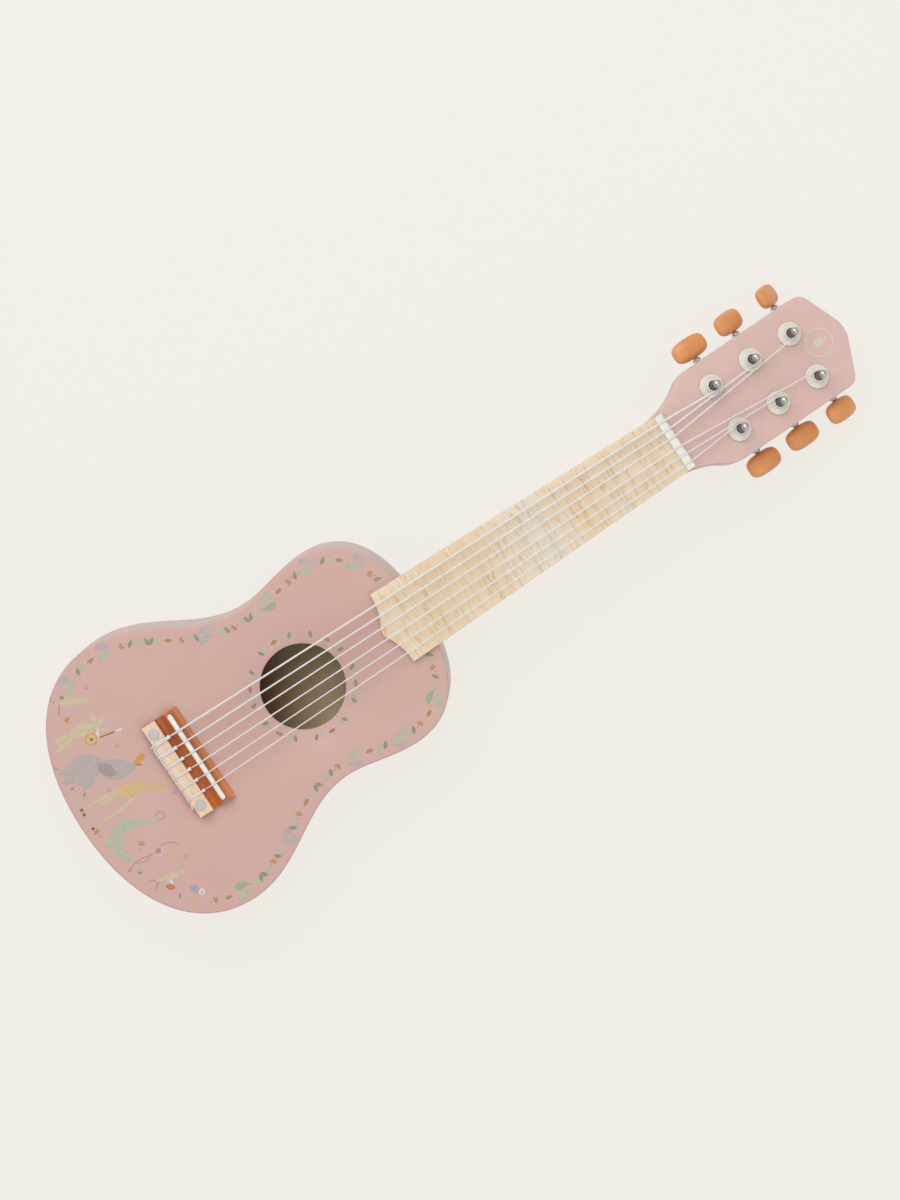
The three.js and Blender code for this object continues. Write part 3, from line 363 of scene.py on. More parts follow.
def fretboard_paint():
    """Pale maple with tone bands and short ray flecks lying across the neck."""
    paint = Paint("maple", seen(228, 207, 180), 0.5)
    bands = paint.noise(26, stretch=(1, 0.12, 0.12), detail=3)
    base = paint.ramp(bands, [
        (0.3, seen(239, 211, 172)),
        (0.44, seen(242, 221, 189)),
        (0.54, seen(243, 227, 201)),
        (0.68, seen(238, 231, 218)),
    ])
    grain = paint.noise(160, stretch=(0.08, 1, 1), detail=5)
    base = paint.mix(paint.scaled(grain, 0.2), base, seen(230, 202, 160))
    flecks = paint.noise(330, stretch=(1.5, 0.3, 1), detail=2, roughness=0.5)
    base = paint.mix(paint.scaled(paint.levels(flecks, 0.56, 0.68), 0.55), base, seen(232, 168, 108))
    dashes = paint.noise(290, stretch=(1.6, 0.28, 1), detail=2, roughness=0.5, turn=(0, 0, 0.04))
    base = paint.mix(paint.scaled(paint.levels(dashes, 0.57, 0.69), 0.36), base, seen(196, 190, 158))
    paint.colour(base)
    paint.rough(grain, 0.42, 0.6)
    paint.bump(grain, 0.00003, 0.4)
    return paint.material


def brown_paint():
    """Oiled red-brown wood with its grain along the bridge, lightened by a painted highlight towards the
    rounded front lip.
    """
    paint = Paint("bridge_brown", srgb(164, 92, 48), 0.42, coat=0.25)
    grain = paint.noise(220, stretch=(1, 0.05, 1), detail=5, distortion=0.4)
    broad = paint.noise(60, stretch=(1, 0.1, 1), detail=2)
    tones = [(0.3, srgb(156, 76, 24)), (0.5, srgb(186, 98, 38)), (0.72, srgb(208, 126, 66))]
    base = paint.ramp(grain, tones)
    base = paint.mix(paint.scaled(broad, 0.2), base, srgb(208, 128, 72))
    # painted highlight: the wood grows lighter from behind the saddle to the rounded front lip
    painted_highlight_span = place(SADDLE_X + 3.5, 0, 0).x, place(BRIDGE_FRONT - 1, 0, 0).x
    paint.colour(paint.mix(paint.scaled(paint.slope(*painted_highlight_span, 0), 0.5), base, srgb(222, 150, 96)))
    paint.rough(grain, 0.34, 0.52)
    paint.bump(grain, 0.00004, 0.5)
    return paint.material


def strip_paint():
    paint = Paint("strip_beech", srgb(226, 200, 172), 0.45, coat=0.1)
    grain = paint.noise(260, stretch=(1, 0.05, 1), detail=4)
    flecks = paint.levels(paint.noise(420, stretch=(1, 0.3, 1), detail=1), 0.64, 0.72)
    base = paint.ramp(grain, [(0.3, srgb(219, 188, 156)), (0.7, srgb(232, 210, 186))])
    paint.colour(paint.mix(paint.scaled(flecks, 0.35), base, srgb(208, 160, 118)))
    paint.bump(grain, 0.00002, 0.4)
    return paint.material


def raw_wood_paint():
    """Bare basswood inside the body, with a painted shade that darkens it on the side away from the light.
    """
    paint = Paint("raw_basswood", srgb(224, 200, 158), 0.75)
    grain = paint.noise(120, stretch=(0.06, 1, 1), detail=5, distortion=0.2)
    wood = paint.ramp(grain, [(0.3, srgb(234, 208, 164)), (0.7, srgb(247, 228, 190))])
    hole = place(HOLE_X, 0, 0).x * cos(PAINTED_SHADE_TURN)
    # painted shade: dark brown on the side of the hole away from the light, fading to the pale wood on the
    # lit side
    painted_shade = paint.slope(hole - 0.034, hole + 0.016, PAINTED_SHADE_TURN)
    paint.colour(paint.mix(painted_shade, srgb(128, 82, 44), wood))
    paint.bump(grain, 0.00008, 0.5)
    return paint.material


def plastic_paint(name, colour, shade, roughness):
    """Moulded plastic: slight flow marks and a fine moulded texture."""
    paint = Paint(name, colour, roughness, coat=0.15)
    flow = paint.noise(60, detail=3, distortion=0.8)
    paint.colour(paint.mix(paint.levels(flow, 0.3, 0.75), shade, colour))
    fine = paint.noise(900, detail=2)
    paint.rough(fine, roughness * 0.9, roughness * 1.1)
    paint.bump(fine, 0.00001, 0.1)
    return paint.material


def knob_paint():
    """Caramel plastic with a faint swirl of tone and a broad soft shine."""
    paint = Paint("caramel", srgb(216, 144, 84), 0.42, coat=0.35)
    fill(paint.shader, Coat_Roughness=0.4, Subsurface_Weight=0.15,
         Subsurface_Radius=(0.004, 0.0018, 0.0008))
    swirl = paint.noise(34, detail=1, distortion=0.5)
    paint.colour(paint.ramp(swirl, [(0.35, srgb(211, 137, 76)), (0.65, srgb(219, 149, 88))]))
    paint.bump(paint.noise(500, detail=1), 0.00001, 0.1)
    return paint.material


def metal_paint(name, colour, roughness, stretch):
    """Plated steel with fine turning or rolling marks."""
    paint = Paint(name, colour, roughness, metallic=1.0)
    marks = paint.noise(900, stretch=stretch, detail=3)
    bright = tuple(min(1.0, 1.12 * value) for value in colour[:3]) + (1,)
    paint.colour(paint.mix(paint.levels(marks, 0.3, 0.7), colour, bright))
    paint.rough(marks, roughness * 0.7, roughness * 1.4)
    paint.bump(marks, 0.00001, 0.25)
    return paint.material


def nylon_paint():
    paint = Paint("nylon", srgb(236, 232, 226), 0.32, coat=0.2)
    fill(paint.shader, Subsurface_Weight=0.2, Subsurface_Radius=(0.001, 0.001, 0.001))
    fine = paint.noise(1500, stretch=(0.1, 1, 1), detail=2)
    paint.colour(paint.ramp(fine, [(0.3, srgb(214, 213, 213)), (0.7, srgb(228, 227, 228))]))
    paint.bump(fine, 0.00002, 0.3)
    return paint.material


def fret_paint():
    paint = Paint("fret_metal", srgb(224, 214, 194), 0.45, metallic=0.1)
    marks = paint.noise(700, stretch=(1, 0.1, 1), detail=2)
    paint.colour(paint.ramp(marks, [(0.3, srgb(221, 209, 186)), (0.7, srgb(230, 221, 203))]))
    paint.rough(marks, 0.3, 0.45)
    return paint.material


def print_paint(name, colour):
    """Screen-printed ink, with the soft tone of a watercolour wash."""
    light, dark = seen(*colour), seen(*(value * 0.94 for value in colour))
    paint = Paint(name, light, 0.55)
    wash = paint.noise(420, detail=3)
    paint.colour(paint.mix(paint.levels(wash, 0.3, 0.7), dark, light))
    paint.bump(paint.noise(1400, detail=2), 0.00002, 0.3)
    return paint.material


# ---------------------------------------------------------------- mesh helpers

class Build:
    """Collects closed solids, given in metres in the row frame, into one mesh."""

    def __init__(self):
        self.points = []
        self.faces = []

    def loft(self, rings, loop=False, caps=True):
        """Joins rings of equal size, one after the other; loop joins the last to the first."""
        first = len(self.points)
        size = len(rings[0])
        for ring in rings:
            self.points.extend(ring)
        count = len(rings)
        for r in range(count if loop else count - 1):
            here = first + r * size
            there = first + ((r + 1) % count) * size
            for i in range(size):
                j = (i + 1) % size
                self.faces.append((here + i, here + j, there + j, there + i))
        if caps and not loop:
            self.faces.append(tuple(first + i for i in reversed(range(size))))
            self.faces.append(tuple(first + (count - 1) * size + i for i in range(size)))
        return self

    def tube(self, path, radius, sides=10):
        """A round tube along points; radius is a number or one number for each point."""
        path = [Vector(p) for p in path]
        normal = None
        rings = []
        for i, point in enumerate(path):
            before = path[max(i - 1, 0)]
            after = path[min(i + 1, len(path) - 1)]
            along = ((point - before).normalized() + (after - point).normalized()).normalized()
            if normal is None:
                normal = along.orthogonal().normalized()
            normal = (normal - along * normal.dot(along)).normalized()
            side = along.cross(normal)
            reach = radius[i] if isinstance(radius, (list, tuple)) else radius
            rings.append([point + (normal * cos(a) + side * sin(a)) * reach for a in around(sides)])
        return self.loft(rings)

    def mesh(self):
        mesh = bpy.data.meshes.new("mesh")
        mesh.from_pydata([tuple(p) for p in self.points], [], self.faces)
        work = bmesh.new()
        work.from_mesh(mesh)
        bmesh.ops.recalc_face_normals(work, faces=work.faces)
        work.to_mesh(mesh)
        work.free()
        return mesh


def piece(name, mesh, material, body=ROOT, replaces=(), sharp=35):
    """A shown piece that rides on a body."""
    made = shown(name, mesh)
    mesh.name = name
    mesh.materials.clear()
    mesh.materials.append(material)
    mesh.shade_smooth()
    mesh.set_sharp_from_angle(angle=radians(sharp))
    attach(made, body)
    if replaces:
        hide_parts(*replaces)
    return made


def fine(name, mesh, material, slot, body=ROOT, sharp=35, nodes=None):
    """The piece that stands in for the CAD node of this name, or for the named nodes."""
    return piece(f"{name}_fine", mesh, material, body, nodes or [name], sharp)


def bevelled(made, width):
    bevel = made.modifiers.new("edges", "BEVEL")
    bevel.width = width * MM
    bevel.segments = 3
    bevel.limit_method = "ANGLE"
    bevel.angle_limit = radians(BEVEL_ANGLE)
    bevel.harden_normals = False
    return made


def carved(mesh, tools, operation="DIFFERENCE"):
    """A mesh with closed tools cut from it or joined to it."""
    base = shown("carve_base", mesh)
    helpers = [base]
    for tool in tools:
        helper = shown("carve_tool", tool)
        helpers.append(helper)
        cut = base.modifiers.new("carve", "BOOLEAN")
        cut.operation = operation
        cut.solver = "EXACT"
        cut.object = helper
    bpy.context.view_layer.update()
    graph = bpy.context.evaluated_depsgraph_get()
    result = bpy.data.meshes.new_from_object(base.evaluated_get(graph))
    for helper in helpers:
        bpy.data.objects.remove(helper)
    return result


def bezier(start, first, second, end, steps):
    points = []
    for i in range(steps):
        t = i / steps
        u = 1 - t
        points.append(tuple(
            u ** 3 * a + 3 * u * u * t * b + 3 * u * t * t * c + t ** 3 * d
            for a, b, c, d in zip(start, first, second, end)
        ))
    return points


def inset_loop(loop, distance):
    """A closed outline moved inward; the outline runs anticlockwise."""
    moved = []
    for i, (x, y) in enumerate(loop):
        before, after = loop[i - 1], loop[(i + 1) % len(loop)]
        along = Vector((after[0] - before[0], after[1] - before[1])).normalized()
        moved.append((x - along.y * distance, y + along.x * distance))
    return moved


def half_outline(steps=OUTLINE_STEPS):
    """The +Y half of the body's edge, from the tail to the neck."""
    lower, waist, upper = LOWER_BOUT_X, WAIST_X, UPPER_BOUT_X
    rear_span, front_span = waist - lower, upper - waist
    end_span = BODY_LENGTH - upper
    curves = (
        ((0, 0), (0, LOWER_BOUT_HALF * TAIL_HANDLE),
         (lower * (1 - LOWER_HANDLES[0]), LOWER_BOUT_HALF), (lower, LOWER_BOUT_HALF)),
        ((lower, LOWER_BOUT_HALF), (lower + rear_span * LOWER_HANDLES[1], LOWER_BOUT_HALF),
         (waist - rear_span * WAIST_HANDLES[0], WAIST_HALF), (waist, WAIST_HALF)),
        ((waist, WAIST_HALF), (waist + front_span * WAIST_HANDLES[1], WAIST_HALF),
         (upper - front_span * UPPER_HANDLES[0], UPPER_BOUT_HALF), (upper, UPPER_BOUT_HALF)),
        ((upper, UPPER_BOUT_HALF), (upper + end_span * UPPER_HANDLES[1], UPPER_BOUT_HALF),
         (BODY_LENGTH, UPPER_BOUT_HALF * NECK_END_HANDLE), (BODY_LENGTH, 0)),
    )
    half = []
    for curve in curves:
        half.extend(bezier(*curve, steps))
    half.append((BODY_LENGTH, 0))
    return half


def body_outline():
    """The whole outline as (x, y), anticlockwise from the neck end."""
    half = half_outline()
    mirrored = [(x, -y) for x, y in reversed(half[1:-1])]
    return list(reversed(half + mirrored))


def around(count):
    """Angles spaced evenly round a circle."""
    return [tau * k / count for k in range(count)]


def circle(x, y, radius, sides):
    return [(x + radius * cos(angle), y + radius * sin(angle)) for angle in around(sides)]


def level(loop, z, make=place):
    return [make(x, y, z) for x, y in loop]


def rounded_edge(outer_z, flat_z, radius, steps=5):
    """(inset, z) pairs that round an edge from the wall to the flat face, then a narrow flat rim."""
    sign = 1 if flat_z > outer_z else -1
    pairs = []
    for k in range(steps + 1):
        angle = pi / 2 * k / steps
        pairs.append((radius * (1 - cos(angle)), flat_z - sign * radius * (1 - sin(angle))))
    pairs.append((radius + 0.4, flat_z))
    return pairs


def plate_mesh(outline, levels, hole=None, make=place):
    """A plate from (inset, z) levels, bottom to top, and an optional hole (x, y, radius, edge)."""
    work = bmesh.new()
    outer = [[work.verts.new(p) for p in level(inset_loop(outline, inset), z, make)] for inset, z in levels]
    rings = [outer]
    if hole:
        x, y, radius, edge = hole
        low, high = levels[0][1], levels[-1][1]
        steps = [(edge, low), (0, low + edge), (0, high - edge)]
        steps += [(edge * 0.3, high - edge * 0.3), (edge, high)]
        loops = [level(circle(x, y, radius + wider, HOLE_SIDES), z, make) for wider, z in steps]
        rings.append([[work.verts.new(p) for p in loop] for loop in loops])
    for group in rings:
        for lower, upper in zip(group, group[1:]):
            size = len(lower)
            for i in range(size):
                j = (i + 1) % size
                work.faces.new((lower[i], lower[j], upper[j], upper[i]))
    for end in (0, -1):
        edges = []
        for group in rings:
            loop = group[end]
            for i in range(len(loop)):
                pair = (loop[i], loop[(i + 1) % len(loop)])
                edges.append(work.edges.get(pair) or work.edges.new(pair))
        bmesh.ops.triangle_fill(work, edges=edges, use_beauty=True)
    bmesh.ops.recalc_face_normals(work, faces=work.faces)
    mesh = bpy.data.meshes.new("mesh")
    work.to_mesh(mesh)
    work.free()
    return mesh


def extruded_y(profile, half_width):
    """A profile in (x, z) drawn across the guitar."""
    return Build().loft([[place(x, y, z) for x, z in profile] for y in (-half_width, half_width)])


def turned(build, profile, centre, axis, sides=40):
    """A round solid from (radius, height) pairs along an axis, closed at both ends."""
    axis = axis.normalized()
    first = axis.orthogonal().normalized()
    second = axis.cross(first)
    rings = []
    for radius, height in profile:
        radius = max(radius, 0.01)
        rings.append([
            centre + axis * height * MM + (first * cos(a) + second * sin(a)) * radius * MM
            for a in around(sides)
        ])
    return build.loft(rings)


def paint_nodes(names, material):
    """Gives CAD nodes that are shown as they are their material."""
    for name in names:
        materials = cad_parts[name].data.materials
        materials.clear()
        materials.append(material)


# ---------------------------------------------------------------- body

def add_body(paints):
    outline = body_outline()
    top_edge = rounded_edge(BOARD_BOTTOM, BODY_TOP, TOP_ROUND)
    soundboard = plate_mesh(outline, [(0.4, BOARD_BOTTOM), (0, BOARD_BOTTOM + 0.02)] + top_edge,
                            hole=(HOLE_X, 0, HOLE_RADIUS, 0.5))
    fine("soundboard", soundboard, paints["face"], "lacquer")

    bottom_edge = list(reversed(rounded_edge(BACK_TOP, 0, BACK_ROUND)))
    back = plate_mesh(outline, bottom_edge + [(0, BACK_TOP - 0.02), (0.4, BACK_TOP)])
    fine("back", back, paints["face"], "lacquer", nodes=["back_plate"])

    inner = inset_loop(outline, SIDE_THICKNESS)
    rings = [level(outline, BACK_TOP), level(outline, BOARD_BOTTOM)]
    rings += [level(inner, BOARD_BOTTOM), level(inner, BACK_TOP)]
    sides = Build().loft(rings, loop=True).mesh()
    fine("side", sides, paints["side"], "lacquer", nodes=["side_band"])

    floor_loop = inset_loop(outline, SIDE_THICKNESS + 0.05)
    lining = Build().loft([level(floor_loop, BACK_TOP + z) for z in (0.02, 0.3)])
    piece("back_lining", lining.mesh(), paints["raw"])
    paint_nodes(RAW_NODES, paints["raw"])


# ---------------------------------------------------------------- neck and fretboard

def fretboard_half(x):
    share = (x - FRETBOARD_CORNER_X) / (NUT_REAR - FRETBOARD_CORNER_X)
    return (FRETBOARD_REAR_WIDTH + (FRETBOARD_NUT_WIDTH - FRETBOARD_REAR_WIDTH) * share) / 2


def neck_depth(x):
    share = (x - BODY_LENGTH) / (NUT_REAR - BODY_LENGTH)
    return NECK_REAR_DEPTH + (NECK_NUT_DEPTH - NECK_REAR_DEPTH) * share


def head_outline(steps=14):
    """Anticlockwise from the tip, in the headstock's own x and y."""
    root, half, tip = HEAD_ROOT_HALF, HEAD_HALF, HEAD_TIP_HALF
    flare, shoulder, radius, tip_x = HEAD_FLARE_LENGTH, HEAD_SHOULDER_X, HEAD_SHOULDER_RADIUS, HEAD_TIP_X
    bulge = tip_x + (HEAD_LENGTH - tip_x) * 4 / 3
    slope = Vector((tip_x - shoulder, tip - half)).normalized() * radius
    start, foot = (-HEAD_RUN_IN, -HEAD_RUN_IN_HALF), (0, -root)
    bend = (-HEAD_RUN_IN / 2, -root + HEAD_RUN_IN / 2 * HEAD_FLARE_SLOPE)
    lower = bezier(start, blend2(start, bend), blend2(foot, bend), foot, 6)
    root_handle = (flare * 0.6, -root - flare * 0.6 * HEAD_FLARE_SLOPE)
    lower += bezier(foot, root_handle, (flare / 2, -half + 0.4), (flare, -half), steps)
    lower += [(flare + k * (shoulder - radius - flare) / 8, -half) for k in range(8)]
    corner = (shoulder, -half)
    entry = (shoulder - radius, -half)
    leave = (shoulder + slope.x, -half - slope.y)
    lower += bezier(entry, blend2(entry, corner), blend2(leave, corner), leave, 8)
    lower += [leave]
    end = bezier((tip_x, -tip), (bulge, -tip / 2), (bulge, tip / 2), (tip_x, tip), steps)
    upper = [(x, -y) for x, y in reversed(lower)]
    return lower + end + [(tip_x, tip)] + upper


def blend2(point, corner, share=2 / 3):
    return tuple(a + (b - a) * share for a, b in zip(point, corner))


def neck_shaft():
    rings = []
    steps = 20
    around = 28
    rear = BODY_LENGTH + NECK_GAP
    front = NUT_FRONT + 2
    for i in range(steps + 1):
        x = rear + (front - rear) * i / steps
        half, depth = fretboard_half(x), neck_depth(x)
        ring = []
        for k in range(around + 1):
            angle = pi + pi * k / around
            ring.append(place(x, half * cos(angle), BODY_TOP - depth * (0.16 - 0.84 * sin(angle))))
        top = BODY_TOP if x <= NUT_FRONT else BODY_TOP - 1.2
        ring += [place(x, half, top), place(x, -half, top)]
        rings.append(ring)
    return Build().loft(rings).mesh()


def neck_heel():
    """The heel's sections lie level, from its foot up into the neck."""
    rings = []
    rear = BODY_LENGTH + NECK_GAP
    low, high = HEEL_FOOT_Z, BODY_TOP - 8
    steps = 16
    for i in range(steps + 1):
        share = i / steps
        z = low + (high - low) * share
        front = BODY_LENGTH + HEEL_REACH + HEEL_FLARE * max(0.0, (share - 0.35) / 0.65) ** 2.2
        half = HEEL_HALF * (0.5 + 0.5 * share)
        shrink = 1.2 if i == 0 else 0
        ring = []
        for k in range(25):
            angle = -pi / 2 + pi * k / 24
            reach = abs(cos(angle)) ** 0.7
            ring.append(place(rear + (front - rear - shrink) * reach,
                              (half - shrink) * sin(angle), z))
        rings.append(ring)
    return Build().loft(rings).mesh()


def add_neck(paints):
    edge = rounded_edge(-HEAD_THICKNESS / 2, 0, HEAD_ROUND)
    back_edge = [(inset, -HEAD_THICKNESS - z) for inset, z in reversed(edge)]
    head = plate_mesh(head_outline(), back_edge + edge, make=head_place)
    axis = head_axis()
    holes = Build()
    for x in POST_X:
        for side in (1, -1):
            drill = [(POST_HOLE_RADIUS, -HEAD_THICKNESS - 2), (POST_HOLE_RADIUS, 2)]
            turned(holes, drill, head_place(x, side * POST_Y, 0), axis)
    room = [(NUT_FRONT - 2 * HEAD_RUN_IN, BODY_TOP), (NUT_FRONT, BODY_TOP),
            (NUT_FRONT, BODY_TOP + 9), (NUT_FRONT - 2 * HEAD_RUN_IN, BODY_TOP + 9)]
    tools = [holes.mesh(), extruded_y(room, HEAD_HALF).mesh()]
    neck = carved(carved(neck_shaft(), [neck_heel(), head], "UNION"), tools)
    fine("neck", neck, paints["head"], "lacquer", sharp=40)


def add_fretboard(paints):
    corner = FRETBOARD_REAR_WIDTH / 2
    corner_x = FRETBOARD_CORNER_X
    tip_x = corner_x - FRETBOARD_TIP
    bend = tip_x + FRETBOARD_TIP * 0.35
    shoulder = (bend, corner * 0.24)
    end = bezier((corner_x, corner), (corner_x, corner * 0.6), (bend + 1.6, corner * 0.4), shoulder, 14)
    end += bezier(shoulder, (tip_x + 0.4, corner * 0.12), (tip_x, corner * 0.06), (tip_x, 0), 8)
    lower = [(x, -y) for x, y in reversed(end[1:])]
    nut_half = FRETBOARD_NUT_WIDTH / 2
    outline = [(NUT_REAR, -nut_half), (NUT_REAR, nut_half)] + end + [(tip_x, 0)] + lower
    outline += [(corner_x, -corner)]
    edge = rounded_edge(BODY_TOP, FRETBOARD_TOP, 0.35, 3)
    mesh = plate_mesh(outline, [(0, BODY_TOP)] + edge)
    fine("fretboard", mesh, paints["maple"], "pale_wood")

    frets = Build()
    names = []
    for fret in range(1, FRET_COUNT + 1):
        name = f"fret_{fret:02d}"
        names.append(name)
        low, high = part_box(name)
        x = (low.x + high.x) / 2 / MM - TAIL_X
        half = high.y / MM
        rings = []
        for y, grow in ((-half, 0.3), (-half + 0.5, 1), (half - 0.5, 1), (half, 0.3)):
            arc = [pi * k / 8 for k in range(9)]
            rings.append([place(x + FRET_HALF * cos(a), y, FRETBOARD_TOP - 0.05 + FRET_RISE * grow * sin(a))
                          for a in arc])
        frets.loft(rings)
    fine("frets", frets.mesh(), paints["fret"], "fret_metal", sharp=60, nodes=names)

    rear, front, top = NUT_REAR, NUT_FRONT, NUT_TOP
    profile = [(rear, BODY_TOP), (front, BODY_TOP), (front, top - 1.9), (front - 0.35, top - 0.8),
               (front - 1.1, top - 0.2), (front - 2.2, top), (rear, top)]
    bevelled(fine("nut", extruded_y(profile, NUT_HALF).mesh(), paints["ivory"], "ivory_plastic"), 0.3)


# ---------------------------------------------------------------- bridge

def string_saddle_y(index):
    return (2.5 - index) * STRING_PITCH


def saddle_loop(half, steps=10):
    """A long outline with round ends, across the guitar."""
    loop = []
    for start, y in ((0, SADDLE_REACH), (pi, -SADDLE_REACH)):
        for k in range(steps + 1):
            angle = start + pi * k / steps
            loop.append((SADDLE_X + half * cos(angle), y + half * sin(angle)))
    return loop


def add_bridge(paints):
    rear, front = BRIDGE_REAR, BRIDGE_FRONT
    strip_front = rear + STRIP_LENGTH
    top = BODY_TOP + 6
    floor = BODY_TOP + 2.4
    profile = [(rear, BODY_TOP), (front, BODY_TOP)]
    for k in range(9):
        angle = pi / 2 * k / 8
        profile.append((front - 3.6 + 3.6 * cos(angle), BODY_TOP + 2.4 + 3.6 * sin(angle)))
    profile += [(SADDLE_X - 2.8, top)]
    rear_of_channel = strip_front + 0.9
    for k in range(1, 10):
        share = k / 9
        profile.append((SADDLE_X - 2.8 + (rear_of_channel - SADDLE_X + 2.8) * share,
                        floor + (top - floor) * (1 - sin(share * pi / 2)) ** 1.6))
    profile += [(strip_front + 0.9, STRIP_BOTTOM - 0.5), (strip_front + 0.5, STRIP_BOTTOM),
                (strip_front, STRIP_BOTTOM), (rear, STRIP_BOTTOM)]
    base = extruded_y(profile, BRIDGE_HALF_WIDTH).mesh()
    slot = Build().loft([level(saddle_loop(SADDLE_SLOT_HALF), z) for z in (BODY_TOP + 2, top + 2)])
    holes = Build()
    for index in range(6):
        foot = place(rear, string_saddle_y(index), TIE_HOLE_Z)
        drill = [(TIE_HOLE_RADIUS, -1), (TIE_HOLE_RADIUS, STRIP_LENGTH + 2)]
        turned(holes, drill, foot, Vector((1, 0, 0)), 16)
    shape = carved(base, [slot.mesh(), holes.mesh()])
    fine("bridge", shape, paints["brown"], "bridge_wood", sharp=40)

    box = [(rear, STRIP_BOTTOM), (strip_front, STRIP_BOTTOM), (strip_front, STRIP_TOP), (rear, STRIP_TOP)]
    strip = extruded_y(box, BRIDGE_HALF_WIDTH).mesh()
    bevelled(fine("tie_strip", strip, paints["strip"], "strip_wood"), 0.35)

    loops = [(0, BODY_TOP + 2), (0, SADDLE_TOP - 1.1), (0.12, SADDLE_TOP - 0.55),
             (0.45, SADDLE_TOP - 0.15), (0.9, SADDLE_TOP)]
    saddle = Build().loft([level(saddle_loop(SADDLE_HALF - inset), z) for inset, z in loops])
    fine("saddle", saddle.mesh(), paints["ivory"], "ivory_plastic")

    dots = Build()
    for side in (1, -1):
        profile = [(0, 0), (3.4, 0), (3.55, 0.15), (3.55, 0.55),
                   (3.3, 0.78), (2.4, 0.87), (1.2, 0.9), (0, 0.9)]
        centre = place(rear + 4.9, side * (BRIDGE_HALF_WIDTH - 7.4), STRIP_TOP)
        turned(dots, profile, centre, Vector((0, 0, 1)))
    fine("bridge_dots", dots.mesh(), paints["dot"], "dot_plastic",
         nodes=["bridge_dot_bass", "bridge_dot_treble"])


# ---------------------------------------------------------------- strings

def smooth(points, steps):
    """A rounded path through points, with the given steps in each span."""
    made = []
    for i in range(len(points) - 1):
        before = points[max(i - 1, 0)]
        here, there = points[i], points[i + 1]
        after = points[min(i + 2, len(points) - 1)]
        reach = (there - here).length
        first = (there - before).normalized() * reach / 3
        second = (after - here).normalized() * reach / 3
        for k in range(steps):
            t = k / steps
            u = 1 - t
            made.append(here * u ** 3 + (here + first) * 3 * u * u * t
                        + (there - second) * 3 * u * t * t + there * t ** 3)
    made.append(points[-1])
    return made


def string_bridge_points(index):
    """The tied end of a string, repeated from the CAD route, then its way up to the saddle."""
    radius = STRING_DIAMETERS[index] / 2
    y = string_saddle_y(index)
    over = STRIP_TOP + radius + 0.15
    hole = TIE_HOLE_Z
    crossing = SADDLE_TOP + radius + 0.05
    rows = [
        (STRIP_LENGTH + radius + 1.2, 0, BODY_TOP + 4.6),
        (STRIP_LENGTH + radius + 0.5, radius * 0.5, STRIP_TOP - 0.2),
        (STRIP_LENGTH, radius, over),
        (STRIP_LENGTH * 0.5, radius * 1.2, over),
        (0.1, radius * 0.8, over),
        (-radius - 0.6, 0, STRIP_TOP + 0.1),
        (-radius - 0.6, 0, hole + 1.1),
        (-0.6, 0, hole + 0.1),
        (0.7, 0, hole),
        (STRIP_LENGTH + 0.7, 0, hole),
        (SADDLE_X - BRIDGE_REAR - 2.25, 0, crossing),
        (SADDLE_X - BRIDGE_REAR, 0, crossing),
    ]
    return [place(BRIDGE_REAR + x, y + dy, z) for x, dy, z in rows]


def string_path(index):
    radius = STRING_DIAMETERS[index] / 2
    y = STRING_NUT_Y[index]
    side = 1 if y > 0 else -1
    path = smooth(string_bridge_points(index), 5)
    highest = place(0, 0, SADDLE_TOP + radius).z
    for point in path:
        point.z = min(point.z, highest)
    z = NUT_TOP + radius + 0.05
    path += [place(NUT_REAR + 0.5, y, z), place(NUT_FRONT - 1.24, y, z)]
    coil = POST_RADIUS + COIL_GAP + radius
    pitch = 2 * radius + 0.1
    lowest = ROSETTE_TOP + radius + 0.3
    steps = 28
    for i in range(STRING_WINDINGS * steps + 1):
        turn = i / steps
        angle = tau * turn
        path.append(head_place(POST_X[STRING_POSTS[index]] + coil * sin(angle),
                               side * (POST_Y - coil * cos(angle)),
                               lowest + pitch * (STRING_WINDINGS - turn)))
    return path


def return_path(index, radius):
    """The string's second pass over the strip, then its tail along the strip's rear edge."""
    y = string_saddle_y(index)
    over = STRIP_TOP + radius
    tail = 6.5 if index == 5 else STRING_PITCH - 0.4
    rows = [
        (STRIP_LENGTH + 1.4, 0, STRIP_TOP - 0.3),
        (STRIP_LENGTH, -radius, over),
        (STRIP_LENGTH * 0.5, -radius * 0.7, over),
        (STRIP_LENGTH * 0.18, -radius * 1.3, over),
        (-radius * 0.7, -radius * 2.2, STRIP_TOP + 0.1),
        (-radius - 0.2, -radius * 4.5, STRIP_TOP - radius * 0.8),
        (-radius - 0.2, -tail * 0.75, STRIP_TOP - radius * 0.9),
        (-radius - (1.3 if index == 5 else 0.1), -tail, STRIP_TOP - radius),
    ]
    return smooth([place(BRIDGE_REAR + x, y + dy, z) for x, dy, z in rows], 5)


def knot_profile(radius):
    """A tight ball of string, from behind to in front."""
    reach = 0.8 + radius * 1.15
    angles = [pi * k / 12 for k in range(13)]
    return [(reach * sin(a), -reach * 1.05 * cos(a)) for a in angles]


def add_strings(paints):
    for index, diameter in enumerate(STRING_DIAMETERS):
        radius = diameter / 2
        build = Build().tube(string_path(index), radius * MM, 12)
        y = string_saddle_y(index)
        knot = place(BRIDGE_REAR + STRIP_LENGTH + 1.7, y, STRIP_TOP - 0.65)
        turned(build, knot_profile(radius), knot, place(1, 0, 0.2) - place(0, 0, 0), 20)
        build.tube(return_path(index, radius), radius * MM, 10)
        name = f"string_{index + 1}"
        fine(name, build.mesh(), paints["nylon"], "nylon", sharp=80)


# ---------------------------------------------------------------- tuners

def head_axis():
    return (head_place(0, 0, 1) - head_place(0, 0, 0)).normalized()


def tuner_places():
    """(label, side, x) of each post, the bass row first."""
    return [(f"{row}_{number}", side, x) for row, side in ROWS for number, x in enumerate(POST_X, 1)]


